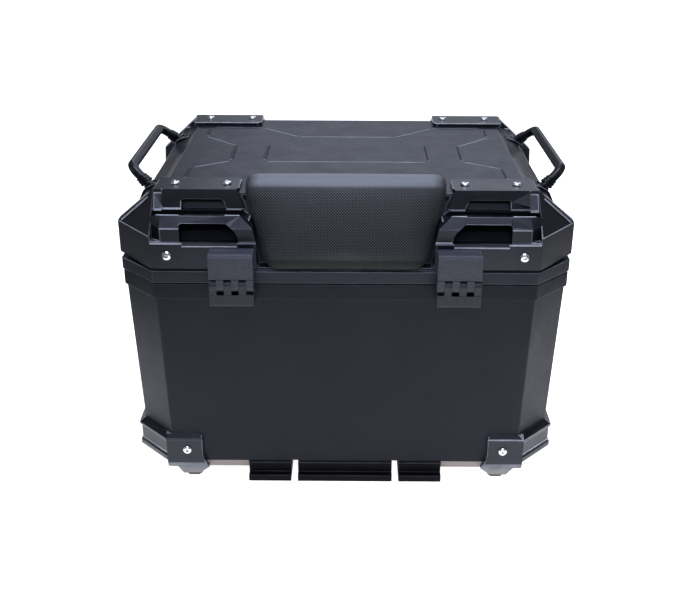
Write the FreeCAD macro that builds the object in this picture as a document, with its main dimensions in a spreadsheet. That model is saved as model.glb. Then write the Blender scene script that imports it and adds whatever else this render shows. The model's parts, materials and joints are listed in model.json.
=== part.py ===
# Motorcycle top case: a drafted ABS tub with a hinged lid, moulded corner guards,
# a padded backrest, folding side handles, a key lock and a quick-release rack plate.
#
# Frame, millimetres: +X to the rider's right hand side of the case, -Y the hinge and
# backrest side (towards the rider), +Y the lock side, +Z up. The origin is the centre
# of the rack bolt slots, on the underside of the mounting plate.
import FreeCAD, Part
import math
import os
import Sketcher

V = FreeCAD.Vector
Rot = FreeCAD.Rotation
Place = FreeCAD.Placement

doc = FreeCAD.newDocument("TopCase")
sheet = doc.addObject("Spreadsheet::Sheet", "Dims")
sheet.Label = "Dims"


class Dim:
    """A length that knows both its value and the expression that gives it."""

    def __init__(self, value, text):
        self.v = float(value)
        self.t = text

    def _other(self, o):
        return o if isinstance(o, Dim) else Dim(o, "%.6g" % o if o >= 0 else "(%.6g)" % o)

    def __add__(self, o):
        o = self._other(o)
        return Dim(self.v + o.v, "(%s + %s)" % (self.t, o.t))

    __radd__ = __add__

    def __sub__(self, o):
        o = self._other(o)
        return Dim(self.v - o.v, "(%s - %s)" % (self.t, o.t))

    def __rsub__(self, o):
        return self._other(o) - self

    def __mul__(self, o):
        o = self._other(o)
        return Dim(self.v * o.v, "(%s * %s)" % (self.t, o.t))

    __rmul__ = __mul__

    def __truediv__(self, o):
        o = self._other(o)
        return Dim(self.v / o.v, "(%s / %s)" % (self.t, o.t))

    def __neg__(self):
        return Dim(-self.v, "(0 - %s)" % self.t)

    def __float__(self):
        return self.v


def D(o):
    return o if isinstance(o, Dim) else Dim(o, "%.6g" % o if o >= 0 else "(%.6g)" % o)


sheet_row = [1]


def cell(alias, value, note=""):
    r = sheet_row[0]
    sheet.set("A%d" % r, alias)
    sheet.set("B%d" % r, "%.6g" % value)
    sheet.setAlias("B%d" % r, alias)
    if note:
        sheet.set("C%d" % r, note)
    sheet_row[0] += 1
    return Dim(value, "Dims." + alias)


# ------------------------------------------------------------------ driving sizes
body_bottom_z = cell("body_bottom_z", 10.4, "lower edge of the skirt under the tub")
floor_under_z = cell("floor_under_z", 21.0, "underside of the tub's floor")
body_edge_z = cell("body_edge_z", 20.4, "top of the tub's bottom chamfer")
rim_low_z = cell("rim_low_z", 212.0, "underside of the tub's rim band")
rim_top_z = cell("rim_top_z", 227.5, "top of the tub's rim band")
body_low_x = cell("body_low_x", 214.5, "tub half width at the bottom edge")
body_low_y = cell("body_low_y", 180.2, "tub half depth at the bottom edge")
body_top_x = cell("body_top_x", 221.5, "tub half width under the rim")
body_top_y = cell("body_top_y", 186.0, "tub half depth under the rim")
rim_x = cell("rim_x", 223.8, "rim band half width")
rim_y = cell("rim_y", 187.4, "rim band half depth")
wall = cell("wall", 3.0, "moulded wall")
lid_low_z = cell("lid_low_z", 228.7, "lower edge of the lid")
lid_rim_z = cell("lid_rim_z", 241.2, "top of the lid's rim band")
lid_x = cell("lid_x", 224.5, "lid rim half width")
lid_y = cell("lid_y", 188.2, "lid rim half depth")
lid_top_z = cell("lid_top_z", 308.0, "flat top of the lid")
guard_low_z = cell("guard_low_z", 244.2, "lower edge of the lid corner guards")
guard_crease_z = cell("guard_crease_z", 277.0, "crease where the guards turn inwards")
guard_top_z = cell("guard_top_z", 312.7, "top of the lid corner guards")
guard_x = cell("guard_x", 227.5, "guard half width")
guard_y = cell("guard_y", 189.0, "guard half depth")
hinge_axis_y = cell("hinge_axis_y", -201.8, "lid hinge axis")
hinge_axis_z = cell("hinge_axis_z", 233.0, "lid hinge axis")
hinge_out_x = cell("hinge_out_x", 130.0, "outer end of each hinge")
hinge_in_x = cell("hinge_in_x", 87.5, "inner end of each hinge")
knuckle_rad = cell("knuckle_rad", 7.0, "hinge knuckle radius")
pin_rad = cell("pin_rad", 2.5, "hinge pin radius")
run_gap = cell("run_gap", 0.05, "radial running clearance")
handle_axis_x = cell("handle_axis_x", 199.0, "side handle pivot")
handle_axis_z = cell("handle_axis_z", 293.5, "side handle pivot")
handle_hub_y = cell("handle_hub_y", 92.5, "side handle hub centre")
handle_leg = cell("handle_leg", 31.2, "side handle leg")
screw_head_rad = cell("screw_head_rad", 4.75, "M5 button head")
screw_head_len = cell("screw_head_len", 2.75, "M5 button head")
screw_rad = cell("screw_rad", 2.5, "M5 shank")
plate_thick = cell("plate_thick", 7.6, "rack plate slab")
slot_dx = cell("slot_dx", 130.0, "rack bolt spacing across")
slot_dy = cell("slot_dy", 90.0, "rack bolt spacing along")
slot_len = cell("slot_len", 26.0, "rack bolt slot length")
slot_rad = cell("slot_rad", 3.3, "rack bolt slot half width")
doc.recompute()

failures = []


# ------------------------------------------------------------------ small builders
def expr(obj, prop, d):
    d = D(d)
    if "Dims." in d.t:
        obj.setExpression(prop, d.t)


def set_base(obj, x, y, z):
    obj.Placement = Place(V(float(D(x)), float(D(y)), float(D(z))), obj.Placement.Rotation)
    for axis, d in (("x", x), ("y", y), ("z", z)):
        expr(obj, "Placement.Base." + axis, d)


def box(name, x0, x1, y0, y1, z0, z1):
    x0, x1, y0, y1, z0, z1 = (D(a) for a in (x0, x1, y0, y1, z0, z1))
    o = doc.addObject("Part::Box", name)
    o.Length, o.Width, o.Height = float(x1 - x0), float(y1 - y0), float(z1 - z0)
    expr(o, "Length", x1 - x0)
    expr(o, "Width", y1 - y0)
    expr(o, "Height", z1 - z0)
    set_base(o, x0, y0, z0)
    return o


AXES = {
    "X": Rot(V(0, 0, 1), V(1, 0, 0)),
    "Y": Rot(V(0, 0, 1), V(0, 1, 0)),
    "-Y": Rot(V(0, 0, 1), V(0, -1, 0)),
    "Z": Rot(),
}


def cyl(name, rad, length, x, y, z, axis="Z"):
    o = doc.addObject("Part::Cylinder", name)
    o.Radius, o.Height = float(D(rad)), float(D(length))
    expr(o, "Radius", rad)
    expr(o, "Height", length)
    o.Placement = Place(V(0, 0, 0), AXES[axis])
    set_base(o, x, y, z)
    return o


def fuse(name, *parts):
    o = doc.addObject("Part::MultiFuse", name)
    o.Shapes = list(parts)
    o.Refine = True
    return o


def common(name, a, b):
    o = doc.addObject("Part::Common", name)
    o.Base, o.Tool = a, b
    o.Refine = True
    return o


def cut(name, a, *tools):
    tool = tools[0]
    if len(tools) > 1:
        tool = doc.addObject("Part::Compound", name + "_tools")
        tool.Links = list(tools)
    o = doc.addObject("Part::Cut", name)
    o.Base, o.Tool = a, tool
    o.Refine = True
    return o


def group(name, *parts):
    o = doc.addObject("Part::Compound", name)
    o.Links = list(parts)
    return o


def mirror(name, source, normal):
    o = doc.addObject("Part::Mirroring", name)
    o.Source = source
    o.Base = V(0, 0, 0)
    o.Normal = V(*normal)
    return o


def draw(sk, pts):
    """A closed, fully constrained polygon through points given as pairs of sizes."""
    n = len(pts)
    xy = [(D(a), D(b)) for a, b in pts]
    for i in range(n):
        a, b = xy[i], xy[(i + 1) % n]
        sk.addGeometry(
            Part.LineSegment(V(a[0].v, a[1].v, 0), V(b[0].v, b[1].v, 0)), False
        )
    for i in range(n):
        sk.addConstraint(Sketcher.Constraint("Coincident", i, 2, (i + 1) % n, 1))
    for i in range(n):
        for kind, d, axis in (("DistanceX", xy[i][0], -2), ("DistanceY", xy[i][1], -1)):
            if abs(d.v) < 1e-9:
                sk.addConstraint(Sketcher.Constraint("PointOnObject", i, 1, axis))
                continue
            if d.v > 0:
                k = sk.addConstraint(Sketcher.Constraint(kind, -1, 1, i, 1, d.v))
                t = d.t
            else:
                k = sk.addConstraint(Sketcher.Constraint(kind, i, 1, -1, 1, -d.v))
                t = "(0 - %s)" % d.t
            if "Dims." in t:
                sk.setExpression("Constraints[%d]" % k, t)


def origin_plane(body, role):
    for f in body.Origin.OriginFeatures:
        if f.Role == role:
            return f
    raise RuntimeError(role)


def prism(name, plane, start, length, pts):
    """A padded polygon. XY pads along +Z, YZ along +X, XZ along -Y, from start."""
    body = doc.addObject("PartDesign::Body", name)
    sk = body.newObject("Sketcher::SketchObject", name + "_sketch")
    sk.AttachmentSupport = (origin_plane(body, plane + "_Plane"), [""])
    sk.MapMode = "FlatFace"
    start, length = D(start), D(length)
    off = -start if plane == "XZ" else start
    sk.AttachmentOffset = Place(V(0, 0, off.v), Rot())
    expr(sk, "AttachmentOffset.Base.z", off)
    draw(sk, pts)
    pad = body.newObject("PartDesign::Pad", name + "_pad")
    pad.Profile = sk
    pad.Length = length.v
    expr(pad, "Length", length)
    body.Tip = pad
    return body


def xprism(name, x0, x1, pts):
    return prism(name, "YZ", x0, D(x1) - x0, pts)


def yprism(name, y0, y1, pts):
    return prism(name, "XZ", y1, D(y1) - y0, pts)


def zprism(name, z0, z1, pts):
    return prism(name, "XY", z0, D(z1) - z0, pts)


def oct_pts(hx, hy, cx, cy=None):
    cy = cx if cy is None else cy
    return [
        (-(D(hx) - cx), -D(hy)),
        (D(hx) - cx, -D(hy)),
        (D(hx), -(D(hy) - cy)),
        (D(hx), D(hy) - cy),
        (D(hx) - cx, D(hy)),
        (-(D(hx) - cx), D(hy)),
        (-D(hx), D(hy) - cy),
        (-D(hx), -(D(hy) - cy)),
    ]


def stacked(name, rings):
    """A faceted solid through stacked octagons (z, half x, half y, chamfer x, chamfer y).
    A drafted box whose corners are cut by planes of changing size is no pad or loft."""
    levels = []
    for z, hx, hy, cx, cy in rings:
        pts = oct_pts(float(hx), float(hy), float(cx), float(cy))
        levels.append([V(float(a), float(b), float(z)) for a, b in pts])

    def face(pts):
        clean = []
        for p in pts:
            if not clean or (p - clean[-1]).Length > 1e-6:
                clean.append(p)
        if (clean[0] - clean[-1]).Length < 1e-6:
            clean.pop()
        if len(clean) < 3:
            return []
        if len(clean) == 4:
            n = (clean[1] - clean[0]).cross(clean[2] - clean[0])
            if abs(n.dot(clean[3] - clean[0])) > 1e-6 * n.Length:
                return face([clean[0], clean[1], clean[2]]) + face(
                    [clean[0], clean[2], clean[3]]
                )
        return [Part.Face(Part.makePolygon(clean + [clean[0]]))]

    faces = face(levels[0][::-1]) + face(levels[-1])
    for low, high in zip(levels, levels[1:]):
        for i in range(8):
            j = (i + 1) % 8
            faces += face([low[i], low[j], high[j], high[i]])
    solid = Part.Solid(Part.Shell(faces))
    if solid.Volume < 0:
        solid.reverse()
    o = doc.addObject("Part::Feature", name)
    o.Shape = solid
    return o


def drafted(name, z0, z1, pts, slope):
    """A plan polygon raised from z0 to z1 whose walls all lean inwards by slope degrees.
    Every wall stays flat, which a tapered pad of this plan does not give."""
    z0, z1 = float(z0), float(z1)
    inset = (z1 - z0) * math.tan(math.radians(slope))
    n = len(pts)
    area = sum(pts[i][0] * pts[(i + 1) % n][1] - pts[(i + 1) % n][0] * pts[i][1] for i in range(n))
    if area < 0:
        pts = pts[::-1]
    top = []
    for i in range(n):
        (ax, ay), (bx, by), (cx, cy) = pts[i - 1], pts[i], pts[(i + 1) % n]
        la, lc = math.hypot(bx - ax, by - ay), math.hypot(cx - bx, cy - by)
        na = (-(by - ay) / la, (bx - ax) / la)
        nc = (-(cy - by) / lc, (cx - bx) / lc)
        k = inset / (1 + na[0] * nc[0] + na[1] * nc[1])
        top.append(V(bx + k * (na[0] + nc[0]), by + k * (na[1] + nc[1]), z1))
    low = [V(x, y, z0) for x, y in pts]
    faces = [Part.Face(Part.makePolygon(low[::-1] + [low[-1]])), Part.Face(Part.makePolygon(top + [top[0]]))]
    for i in range(n):
        j = (i + 1) % n
        faces.append(Part.Face(Part.makePolygon([low[i], low[j], top[j], top[i], low[i]])))
    solid = Part.Solid(Part.Shell(faces))
    if solid.Volume < 0:
        solid.reverse()
    o = doc.addObject("Part::Feature", name)
    o.Shape = solid
    return o


def slanted_box(name, corner, along, across, length, width, height):
    """A box from a corner, with its length and width along two given directions."""
    ex = V(*along).normalize()
    ez = ex.cross(V(*across)).normalize()
    ey = ez.cross(ex)
    o = doc.addObject("Part::Box", name)
    o.Length, o.Width, o.Height = length, width, height
    o.Placement = Place(V(*corner), Rot(ex, ey, ez, "XYZ"))
    return o


nodes = {}


def node(name, obj):
    obj.Label = name
    nodes[name] = obj
    return obj


# ------------------------------------------------------------------ fasteners
def screw_shape(name, rad, head_rad, head_len, length, hexa):
    """A button head screw: head above z = 0 along -Z, shank below along +Z."""
    rim = cyl(name + "_rim", head_rad, D(head_len) * 0.35, 0, 0, D(head_len) * -0.35)
    dome = doc.addObject("Part::Cone", name + "_dome")
    dome.Radius1, dome.Radius2 = float(D(head_rad)) * 0.58, float(D(head_rad))
    dome.Height = float(D(head_len)) * 0.65
    dome.Placement = Place(V(0, 0, -float(D(head_len))), Rot())
    shank = cyl(name + "_shank", rad, length, 0, 0, 0)
    whole = fuse(name + "_whole", rim, dome, shank)
    socket = doc.addObject("Part::Prism", name + "_socket")
    socket.Polygon = 6
    socket.Circumradius = hexa / math.sqrt(3)
    socket.Height = float(D(head_len)) * 0.62
    socket.Placement = Place(V(0, 0, -float(D(head_len)) - 0.01), Rot())
    return cut(name, whole, socket)


def nut_shape(name, across, thick, hole):
    hexa = doc.addObject("Part::Prism", name + "_hex")
    hexa.Polygon = 6
    hexa.Circumradius = across / math.sqrt(3)
    hexa.Height = thick
    bore = cyl(name + "_bore", hole, thick + 2, 0, 0, -1)
    return cut(name, hexa, bore)


def copies(name, proto, places):
    """Identical loose pieces: one solid for each place (position, direction of the shank)."""
    out = []
    for i, (p, d) in enumerate(places):
        o = doc.addObject("Part::Feature", "%s_%d" % (name, i + 1))
        o.Shape = proto.Shape.copy()
        o.Placement = Place(V(*p), Rot(V(0, 0, 1), V(*d)))
        out.append(o)
    return group(name, *out)


m5_short = screw_shape("m5_short", screw_rad, screw_head_rad, screw_head_len, 14.0, 3.0)
m5_long = screw_shape("m5_long", screw_rad, screw_head_rad, screw_head_len, 19.0, 3.0)
m5_top = screw_shape("m5_top", screw_rad, screw_head_rad, screw_head_len, 13.0, 3.0)
m4_screw = screw_shape("m4_screw", 2.0, 3.8, 2.2, 12.0, 2.5)
m5_nut = nut_shape("m5_nut", 8.0, 4.7, 2.53)
doc.recompute()


def hole(name, rad, p, d, back, ahead):
    """A round cutter through p along d."""
    o = doc.addObject("Part::Cylinder", name)
    o.Radius = float(D(rad))
    expr(o, "Radius", rad)
    o.Height = back + ahead
    dv = V(*d).normalize()
    o.Placement = Place(V(*p) - dv * back, Rot(V(0, 0, 1), dv))
    return o


SX = (-1, 1)

# ------------------------------------------------------------------ tub
tub_outer = stacked(
    "tub_outer",
    [
        (body_bottom_z, body_low_x - 4.6, body_low_y - 4.2, 31.2, 31.2),
        (body_edge_z, body_low_x, body_low_y, 33, 33),
        (rim_low_z, body_top_x, body_top_y, 36, 36),
    ],
)
tub_rim = zprism("tub_rim", rim_low_z, rim_top_z, oct_pts(rim_x, rim_y, 36.6))
tub_inner = stacked(
    "tub_inner",
    [
        (24.5, 211.2, 176.9, 31.6, 31.6),
        (rim_top_z + 2, 218.4, 182.6, 34.6, 34.6),
    ],
)
tub_solid = fuse("tub_solid", tub_outer, tub_rim)
groove_out = zprism("groove_out", rim_top_z - 1.5, rim_top_z + 1, oct_pts(rim_x - 1.5, rim_y - 1.5, 36.0))
groove_in = zprism("groove_in", rim_top_z - 3, rim_top_z + 3, oct_pts(rim_x - 3.9, rim_y - 3.9, 35.1))
groove = cut("groove", groove_out, groove_in)

# screw positions of the bottom corner guards: one on the front or back, one on the side
BG_FRONT_Y = -185.9
BG_SIDE_X = 221.9
bg_front = [(sx * 166.0, sy * 185.9, 37.0, (0, -sy, 0)) for sx in SX for sy in SX]
bg_side = [(sx * 220.2, sy * 132.0, 37.0, (-sx, 0, 0)) for sx in SX for sy in SX]
# hinge screws run outwards from the inside into each leaf
hx_screws = [sx * x for sx in SX for x in (98.0, 120.0)]
base_cutters = []
for i, (x, y, z, d) in enumerate(bg_front + bg_side):
    base_cutters.append(hole("tub_guard_hole_%d" % i, screw_rad + 0.1, (x, y, z), d, 1, 16))
for i, x in enumerate(hx_screws):
    base_cutters.append(hole("tub_hinge_hole_%d" % i, screw_rad + 0.1, (x, -176, 219.2), (0, -1, 0), 0, 14))
# lock cylinder aperture and its housing screws, in the back wall
base_cutters.append(hole("tub_lock_hole", 9.6, (0, 176, 195), (0, 1, 0), 0, 14))
for i, (x, z) in enumerate(((-20, 176), (20, 176), (-20, 214), (20, 214))):
    base_cutters.append(hole("tub_lock_screw_hole_%d" % i, 2.1, (x, 176, z), (0, 1, 0), 0, 14))
# bolts down through the floor into the plate receiver
for i, (x, y) in enumerate(((-80, -60), (80, -60), (-80, 60), (80, 60))):
    base_cutters.append(hole("tub_floor_hole_%d" % i, screw_rad + 0.1, (x, y, 30), (0, 0, -1), 0, 12))
for i, x in enumerate((-22, 22)):
    base_cutters.append(hole("tub_catch_hole_%d" % i, screw_rad + 0.1, (x, 150, 30), (0, 0, -1), 0, 12))
# hollow underside inside the skirt, open at the front for the plate and at the back for the pull
base_cutters.append(zprism("under_pocket", 9.0, floor_under_z, oct_pts(206.3, 172.4, 29.6)))
base_cutters.append(box("skirt_gap_front", -102.6, 102.6, -184, -170, 9.0, floor_under_z))
base_cutters.append(box("skirt_gap_rear", -34, 34, 170, 184, 9.0, floor_under_z))
base_shell = node("base_shell", cut("base_shell", tub_solid, tub_inner, groove, *base_cutters))

seal_out = zprism("seal_out", rim_top_z - 1.5, rim_top_z + 0.9, oct_pts(rim_x - 1.6, rim_y - 1.6, 35.96))
seal_in = zprism("seal_in", rim_top_z - 3, rim_top_z + 3, oct_pts(rim_x - 3.8, rim_y - 3.8, 35.14))
node("rim_seal", cut("rim_seal", seal_out, seal_in))

mat_raw = zprism("mat_raw", 24.6, 27.4, oct_pts(209.5, 175.2, 31.0))
mat_cuts = [hole("mat_hole_%d" % i, 6.5, (x, y, 30), (0, 0, -1), 0, 8) for i, (x, y) in enumerate(((-80, -60), (80, -60), (-80, 60), (80, 60), (-22, 150), (22, 150)))]
node("floor_mat", cut("floor_mat", mat_raw, *mat_cuts))

# ------------------------------------------------------------------ bottom corner guards
bg_rings = stacked(
    "bg_rings",
    [
        (15.0, 213.5, 178.0, 31.5, 31.5),
        (24.0, 222.0, 186.0, 34.2, 34.2),
        (29.0, 222.0, 186.0, 34.2, 34.2),
        (31.2, 220.2, 184.2, 33.5, 33.5),
        (46.0, 220.2, 184.2, 33.5, 33.5),
        (48.2, 222.0, 186.0, 34.2, 34.2),
        (50.6, 222.0, 186.0, 34.2, 34.2),
        (54.6, 216.2, 181.4, 33.4, 33.4),
    ],
)
# flat front wing that carries the screw, filling the channel on that face
bg_wing = xprism(
    "bg_wing",
    -187.6,
    -150.0,
    [(-184.1, 15.0), (-185.9, 20.1), (-185.9, 50.4), (-181.6, 54.2), (-176, 54.2), (-176, 15)],
)
bg_front_plan = yprism(
    "bg_front_plan",
    -190,
    -100,
    [(-240, 14), (-150.4, 14), (-149.4, 48.5), (-150.6, 52.2), (-154, 55), (-240, 55)],
)
bg_side_plan = xprism(
    "bg_side_plan",
    -240,
    -130,
    [(-200, 14), (-112, 14), (-112, 22), (-116, 26), (-116, 50), (-120, 55), (-200, 55)],
)
bg_ring_part = common("bg_ring_part", common("bg_a", bg_rings, bg_front_plan), bg_side_plan)
# boss that reaches down round the tub's edge to the foot
bg_boss_a = xprism("bg_boss_a", -181, -142, [(-185.9, 28.0), (-185.9, 20.1), (-180.0, 3.6), (-158.5, 3.6), (-158.5, 28.0)])
bg_boss_b = yprism("bg_boss_b", -190, -150, [(-180.5, 20.1), (-172.8, 3.6), (-155.0, 3.6), (-144.0, 13.7), (-150.2, 27.4), (-180.5, 27.4)])
bg_boss = common("bg_boss", bg_boss_a, bg_boss_b)
bg_wing2 = common("bg_wing2", bg_wing, bg_front_plan)
bg_all = fuse("bg_all", bg_ring_part, bg_wing2, bg_boss)
bg_hole_a = hole("bg_hole_a", screw_rad + 0.1, (-166, -190, 37), (0, 1, 0), 2, 16)
bg_hole_b = hole("bg_hole_b", screw_rad + 0.1, (-226, -132.0, 37), (1, 0, 0), 2, 22)
# shallow channel under each foot, so the foot's spigot is held
bg_foot_hole = box("bg_foot_hole", -165.5, -157.5, -172, -163, 2, 8.1)
bg_fl = node("bottom_guard_front_left", cut("bottom_guard_front_left", bg_all, tub_outer, bg_hole_a, bg_hole_b, bg_foot_hole))
node("bottom_guard_front_right", mirror("bottom_guard_front_right", bg_fl, (1, 0, 0)))
bg_rl = node("bottom_guard_rear_left", mirror("bottom_guard_rear_left", bg_fl, (0, 1, 0)))
node("bottom_guard_rear_right", mirror("bottom_guard_rear_right", bg_rl, (1, 0, 0)))

foot_pad = zprism("foot_pad", 0.0, 3.55, [(-170, -174), (-167.5, -177.6), (-156.5, -177.6), (-153.6, -174), (-153.6, -163), (-156, -160), (-167.5, -160), (-170, -163)])
foot_spigot = box("foot_spigot", -165.4, -157.6, -171.9, -163.1, 3.0, 8.0)
foot_a = fuse("foot_a", foot_pad, foot_spigot)
foot_b = mirror("foot_b", foot_a, (1, 0, 0))
foot_c = mirror("foot_c", foot_a, (0, 1, 0))
foot_d = mirror("foot_d", foot_b, (0, 1, 0))
node("guard_feet", group("guard_feet", foot_a, foot_b, foot_c, foot_d))

node("bottom_guard_screws", copies("bottom_guard_screws", m5_short, [((x, y, z), d) for x, y, z, d in bg_front + bg_side]))
nut_places = []
for x, y, z, d in bg_front:
    nut_places.append(((x, math.copysign(177.05, y), z), d))
for x, y, z, d in bg_side:
    nut_places.append(((math.copysign(211.4, x), y, z), d))
node("bottom_guard_nuts", copies("bottom_guard_nuts", m5_nut, nut_places))

# ------------------------------------------------------------------ quick-release plate
slab = zprism("slab", 0, plate_thick, [(-102, -189), (102, -189), (102, 96), (86, 118), (-86, 118), (-102, 96)])
deck = zprism("deck", plate_thick - 0.5, 20.9, [(-96, -150), (96, -150), (96, 92), (80, 112), (-80, 112), (-96, 92)])
neck = xprism("neck", -102, 102, [(-181.4, 7.0), (-181.4, 18.6), (-179.4, 20.85), (-149, 20.85), (-149, 7.0)])
plate_solid = fuse("plate_solid", slab, deck, neck)
plate_cuts = [
    box("tab_gap_left", -57, -50, -200, -140, -1, 30),
    box("tab_gap_right", 50, 57, -200, -140, -1, 30),
    # hollow underside of the deck between the ribs
    box("plate_hollow_1", -42, 42, -128, -74, 4, 22),
    box("plate_hollow_2", -42, 42, -66, -4, 4, 22),
    box("plate_hollow_3", -42, 42, 4, 66, 4, 22),
    box("plate_hollow_4", -90, -52, -128, -72, 4, 22),
    box("plate_hollow_5", 52, 90, -128, -72, 4, 22),
    box("plate_hollow_6", -90, -52, -26, 26, 4, 22),
    box("plate_hollow_7", 52, 90, -26, 26, 4, 22),
    box("plate_hollow_8", -42, 42, 72, 97, 4, 22),
    box("plate_hollow_9", -76, -48, 72, 100, 4, 22),
    box("plate_hollow_10", 48, 76, 72, 100, 4, 22),
    # keeper pocket for the sliding catch
    box("keeper_pocket", -13, 13, 100, 120, 9.6, 16.4),
]
k = 0
for sx in SX:
    for sy in SX:
        cx, cy = slot_dx * (sx * 0.5), slot_dy * (sy * 0.5)
        half = slot_len / 2 - slot_rad
        plate_cuts.append(box("slot_box_%d" % k, cx - half, cx + half, cy - slot_rad, cy + slot_rad, -1, 12))
        plate_cuts.append(cyl("slot_end_a_%d" % k, slot_rad, 13, cx - half, cy, -1))
        plate_cuts.append(cyl("slot_end_b_%d" % k, slot_rad, 13, cx + half, cy, -1))
        plate_cuts.append(box("slot_bay_%d" % k, cx - 19, cx + 19, cy - 10, cy + 10, plate_thick, 22))
        k += 1
# bosses take the four floor bolts of the receiver
for i, (x, y) in enumerate(((-80, -60), (80, -60), (-80, 60), (80, 60))):
    plate_cuts.append(hole("plate_insert_hole_%d" % i, 3.5, (x, y, 21.5), (0, 0, -1), 0, 11.5))
node("mounting_plate", cut("mounting_plate", plate_solid, *plate_cuts))
insert_round = doc.addObject("Part::Cylinder", "insert_round")
insert_round.Radius, insert_round.Height = 3.48, 8.0
insert_bore = cyl("insert_bore", 2.53, 10, 0, 0, -1)
insert = cut("insert", insert_round, insert_bore)
doc.recompute()
node("plate_inserts", copies("plate_inserts", insert, [((x, y, 20.8), (0, 0, -1)) for x, y in ((-80, -60), (80, -60), (-80, 60), (80, 60))]))
node("floor_bolts", copies("floor_bolts", m5_top, [((x, y, 24.5), (0, 0, -1)) for x, y in ((-80, -60), (80, -60), (-80, 60), (80, 60))]))

# ------------------------------------------------------------------ catch that holds the case on its plate
catch_block = box("catch_block", -32, 32, 122, 170, 2.5, 20.9)
catch_run = box("catch_run", -14.3, 14.3, 121, 160, 8.7, 17.3)
catch_stem_hole = box("catch_stem_hole", -6.3, 6.3, 150, 172, 8.7, 17.3)
catch_cuts = [catch_run, catch_stem_hole]
for i, x in enumerate((-22, 22)):
    catch_cuts.append(hole("catch_screw_hole_%d" % i, screw_rad + 0.02, (x, 150, 22), (0, 0, -1), 0, 13))
node("catch_housing", cut("catch_housing", catch_block, *catch_cuts))
# spring bolt, wedge ended, with a stem that carries the pull
catch_head = box("catch_head", -14, 14, 124, 134, 9, 17)
catch_tongue = xprism("catch_tongue", -12, 12, [(124.5, 10), (106, 10), (106, 11), (112, 16), (124.5, 16)])
catch_stem = box("catch_stem", -6, 6, 133, 176, 9, 17)
node("catch_bolt", fuse("catch_bolt", catch_head, catch_tongue, catch_stem))
pull_body = xprism("pull_body", -24, 24, [(176.0, 4), (184, 4), (187, 8), (187, 17), (184, 20), (176.0, 20)])
node("release_pull", pull_body)
spring_parts = []
for sx in SX:
    x = sx * 10.1
    turns, pitch, r0 = 9, 2.45, 2.6
    helix = Part.makeHelix(pitch, pitch * turns, r0)
    prof = Part.Wire([Part.makeCircle(0.45, V(r0, 0, 0), V(0, 1, 0))])
    sweep = Part.Wire(helix).makePipeShell([prof], True, True)
    o = doc.addObject("Part::Feature", "catch_spring_%s" % ("left" if sx < 0 else "right"))
    o.Shape = sweep
    o.Placement = Place(V(x, 134.6, 13.0), Rot(V(0, 0, 1), V(0, 1, 0)))
    spring_parts.append(o)
node("catch_springs", group("catch_springs", *spring_parts))
node("catch_screws", copies("catch_screws", m5_top, [((x, 150, 24.5), (0, 0, -1)) for x in (-22, 22)]))

# ------------------------------------------------------------------ lid shell
CR = 39.0 / 47.0  # the lid corners are cut at this ratio, so that every facet stays flat
lid_band = zprism("lid_band", lid_low_z, lid_rim_z, oct_pts(lid_x, lid_y, 36.9))
lid_core = stacked(
    "lid_core",
    [
        (float(lid_low_z) + 4, 219.0, 184.5, 38.9 * CR, 38.9),
        (266.0, 219.0, 184.5, 38.9 * CR, 38.9),
        (291.0, 206.6, 153.0, 6.6 * CR, 6.6),
        (295.0, 204.5, 151.4, 6.6 * CR, 6.6),
        (303.0, 188.0, 148.0, 1.2 * CR, 1.2),
        (lid_top_z, 181.0, 146.0, 1.2 * CR, 1.2),
    ],
)

# low stiffening beads moulded into the flat top
def bead(name, x0, y0, x1, y1):
    run = math.hypot(x1 - x0, y1 - y0)
    nx, ny = -(y1 - y0) / run * 2.8, (x1 - x0) / run * 2.8
    plan = [(x0 - nx, y0 - ny), (x1 - nx, y1 - ny), (x1 + nx, y1 + ny), (x0 + nx, y0 + ny)]
    return drafted(name, lid_top_z - 0.05, lid_top_z + 0.22, plan, 84)


side_beads = [
    (-165.5, 99.0, -164.0, 67.5),
    (-163.0, 64.5, -127.0, 27.5),
    (-126.0, 25.0, -125.3, -32.5),
    (-126.5, -36.5, -163.5, -62.0),
    (-164.5, -64.5, -165.0, -99.5),
    (-89.0, 26.8, -89.3, -33.5),
    (-57.5, 67.4, -99.5, 106.0),
    (-101.5, 108.6, -161.0, 109.6),
]
beads = [bead("bead_front", -86, -38.2, 86, -38.2), bead("bead_rear", -56, 66, 56, 66)]
for i, (x0, y0, x1, y1) in enumerate(side_beads):
    beads.append(bead("bead_left_%d" % i, x0, y0, x1, y1))
    beads.append(bead("bead_right_%d" % i, -x0, y0, -x1, y1))

lid_body = fuse("lid_body", lid_band, lid_core, *beads)

BAY = math.hypot(25.0, 55.8)
NP = (-55.8 / BAY, 25.0 / BAY)  # outward normal of the bay floor, in Y and Z
TP = (25.0 / BAY, 55.8 / BAY)  # up along the bay floor
bay_front = xprism("bay_front", -104.5, 104.5, [(-210, 244.2), (-172, 244.2), (-147, 300), (-147, 320), (-210, 320)])
bay_sides = yprism("bay_sides", -210, -100, [(-83.5, 240), (83.5, 240), (104, 312), (104, 320), (-104, 320), (-104, 312)])
pad_bay = common("pad_bay", bay_front, bay_sides)
lid_hollow_raw = stacked(
    "lid_hollow_raw",
    [
        (float(lid_low_z) - 2, 215.8, 181.3, 36.9 * CR, 36.9),
        (265.0, 215.8, 181.3, 36.9 * CR, 36.9),
        (289.5, 203.2, 149.6, 4.0 * CR, 4.0),
        (299.8, 184.6, 144.8, 1.2 * CR, 1.2),
        (304.8, 177.6, 142.8, 1.2 * CR, 1.2),
    ],
)
bay_keep_a = xprism("bay_keep_a", -108, 108, [(-210, 241.2), (-169.84, 241.2), (-143.49, 300), (-143.49, 320), (-210, 320)])
bay_keep_b = yprism("bay_keep_b", -210, -100, [(-86.7, 236), (86.7, 236), (107.2, 312), (107.2, 320), (-107.2, 320), (-107.2, 312)])
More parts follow.
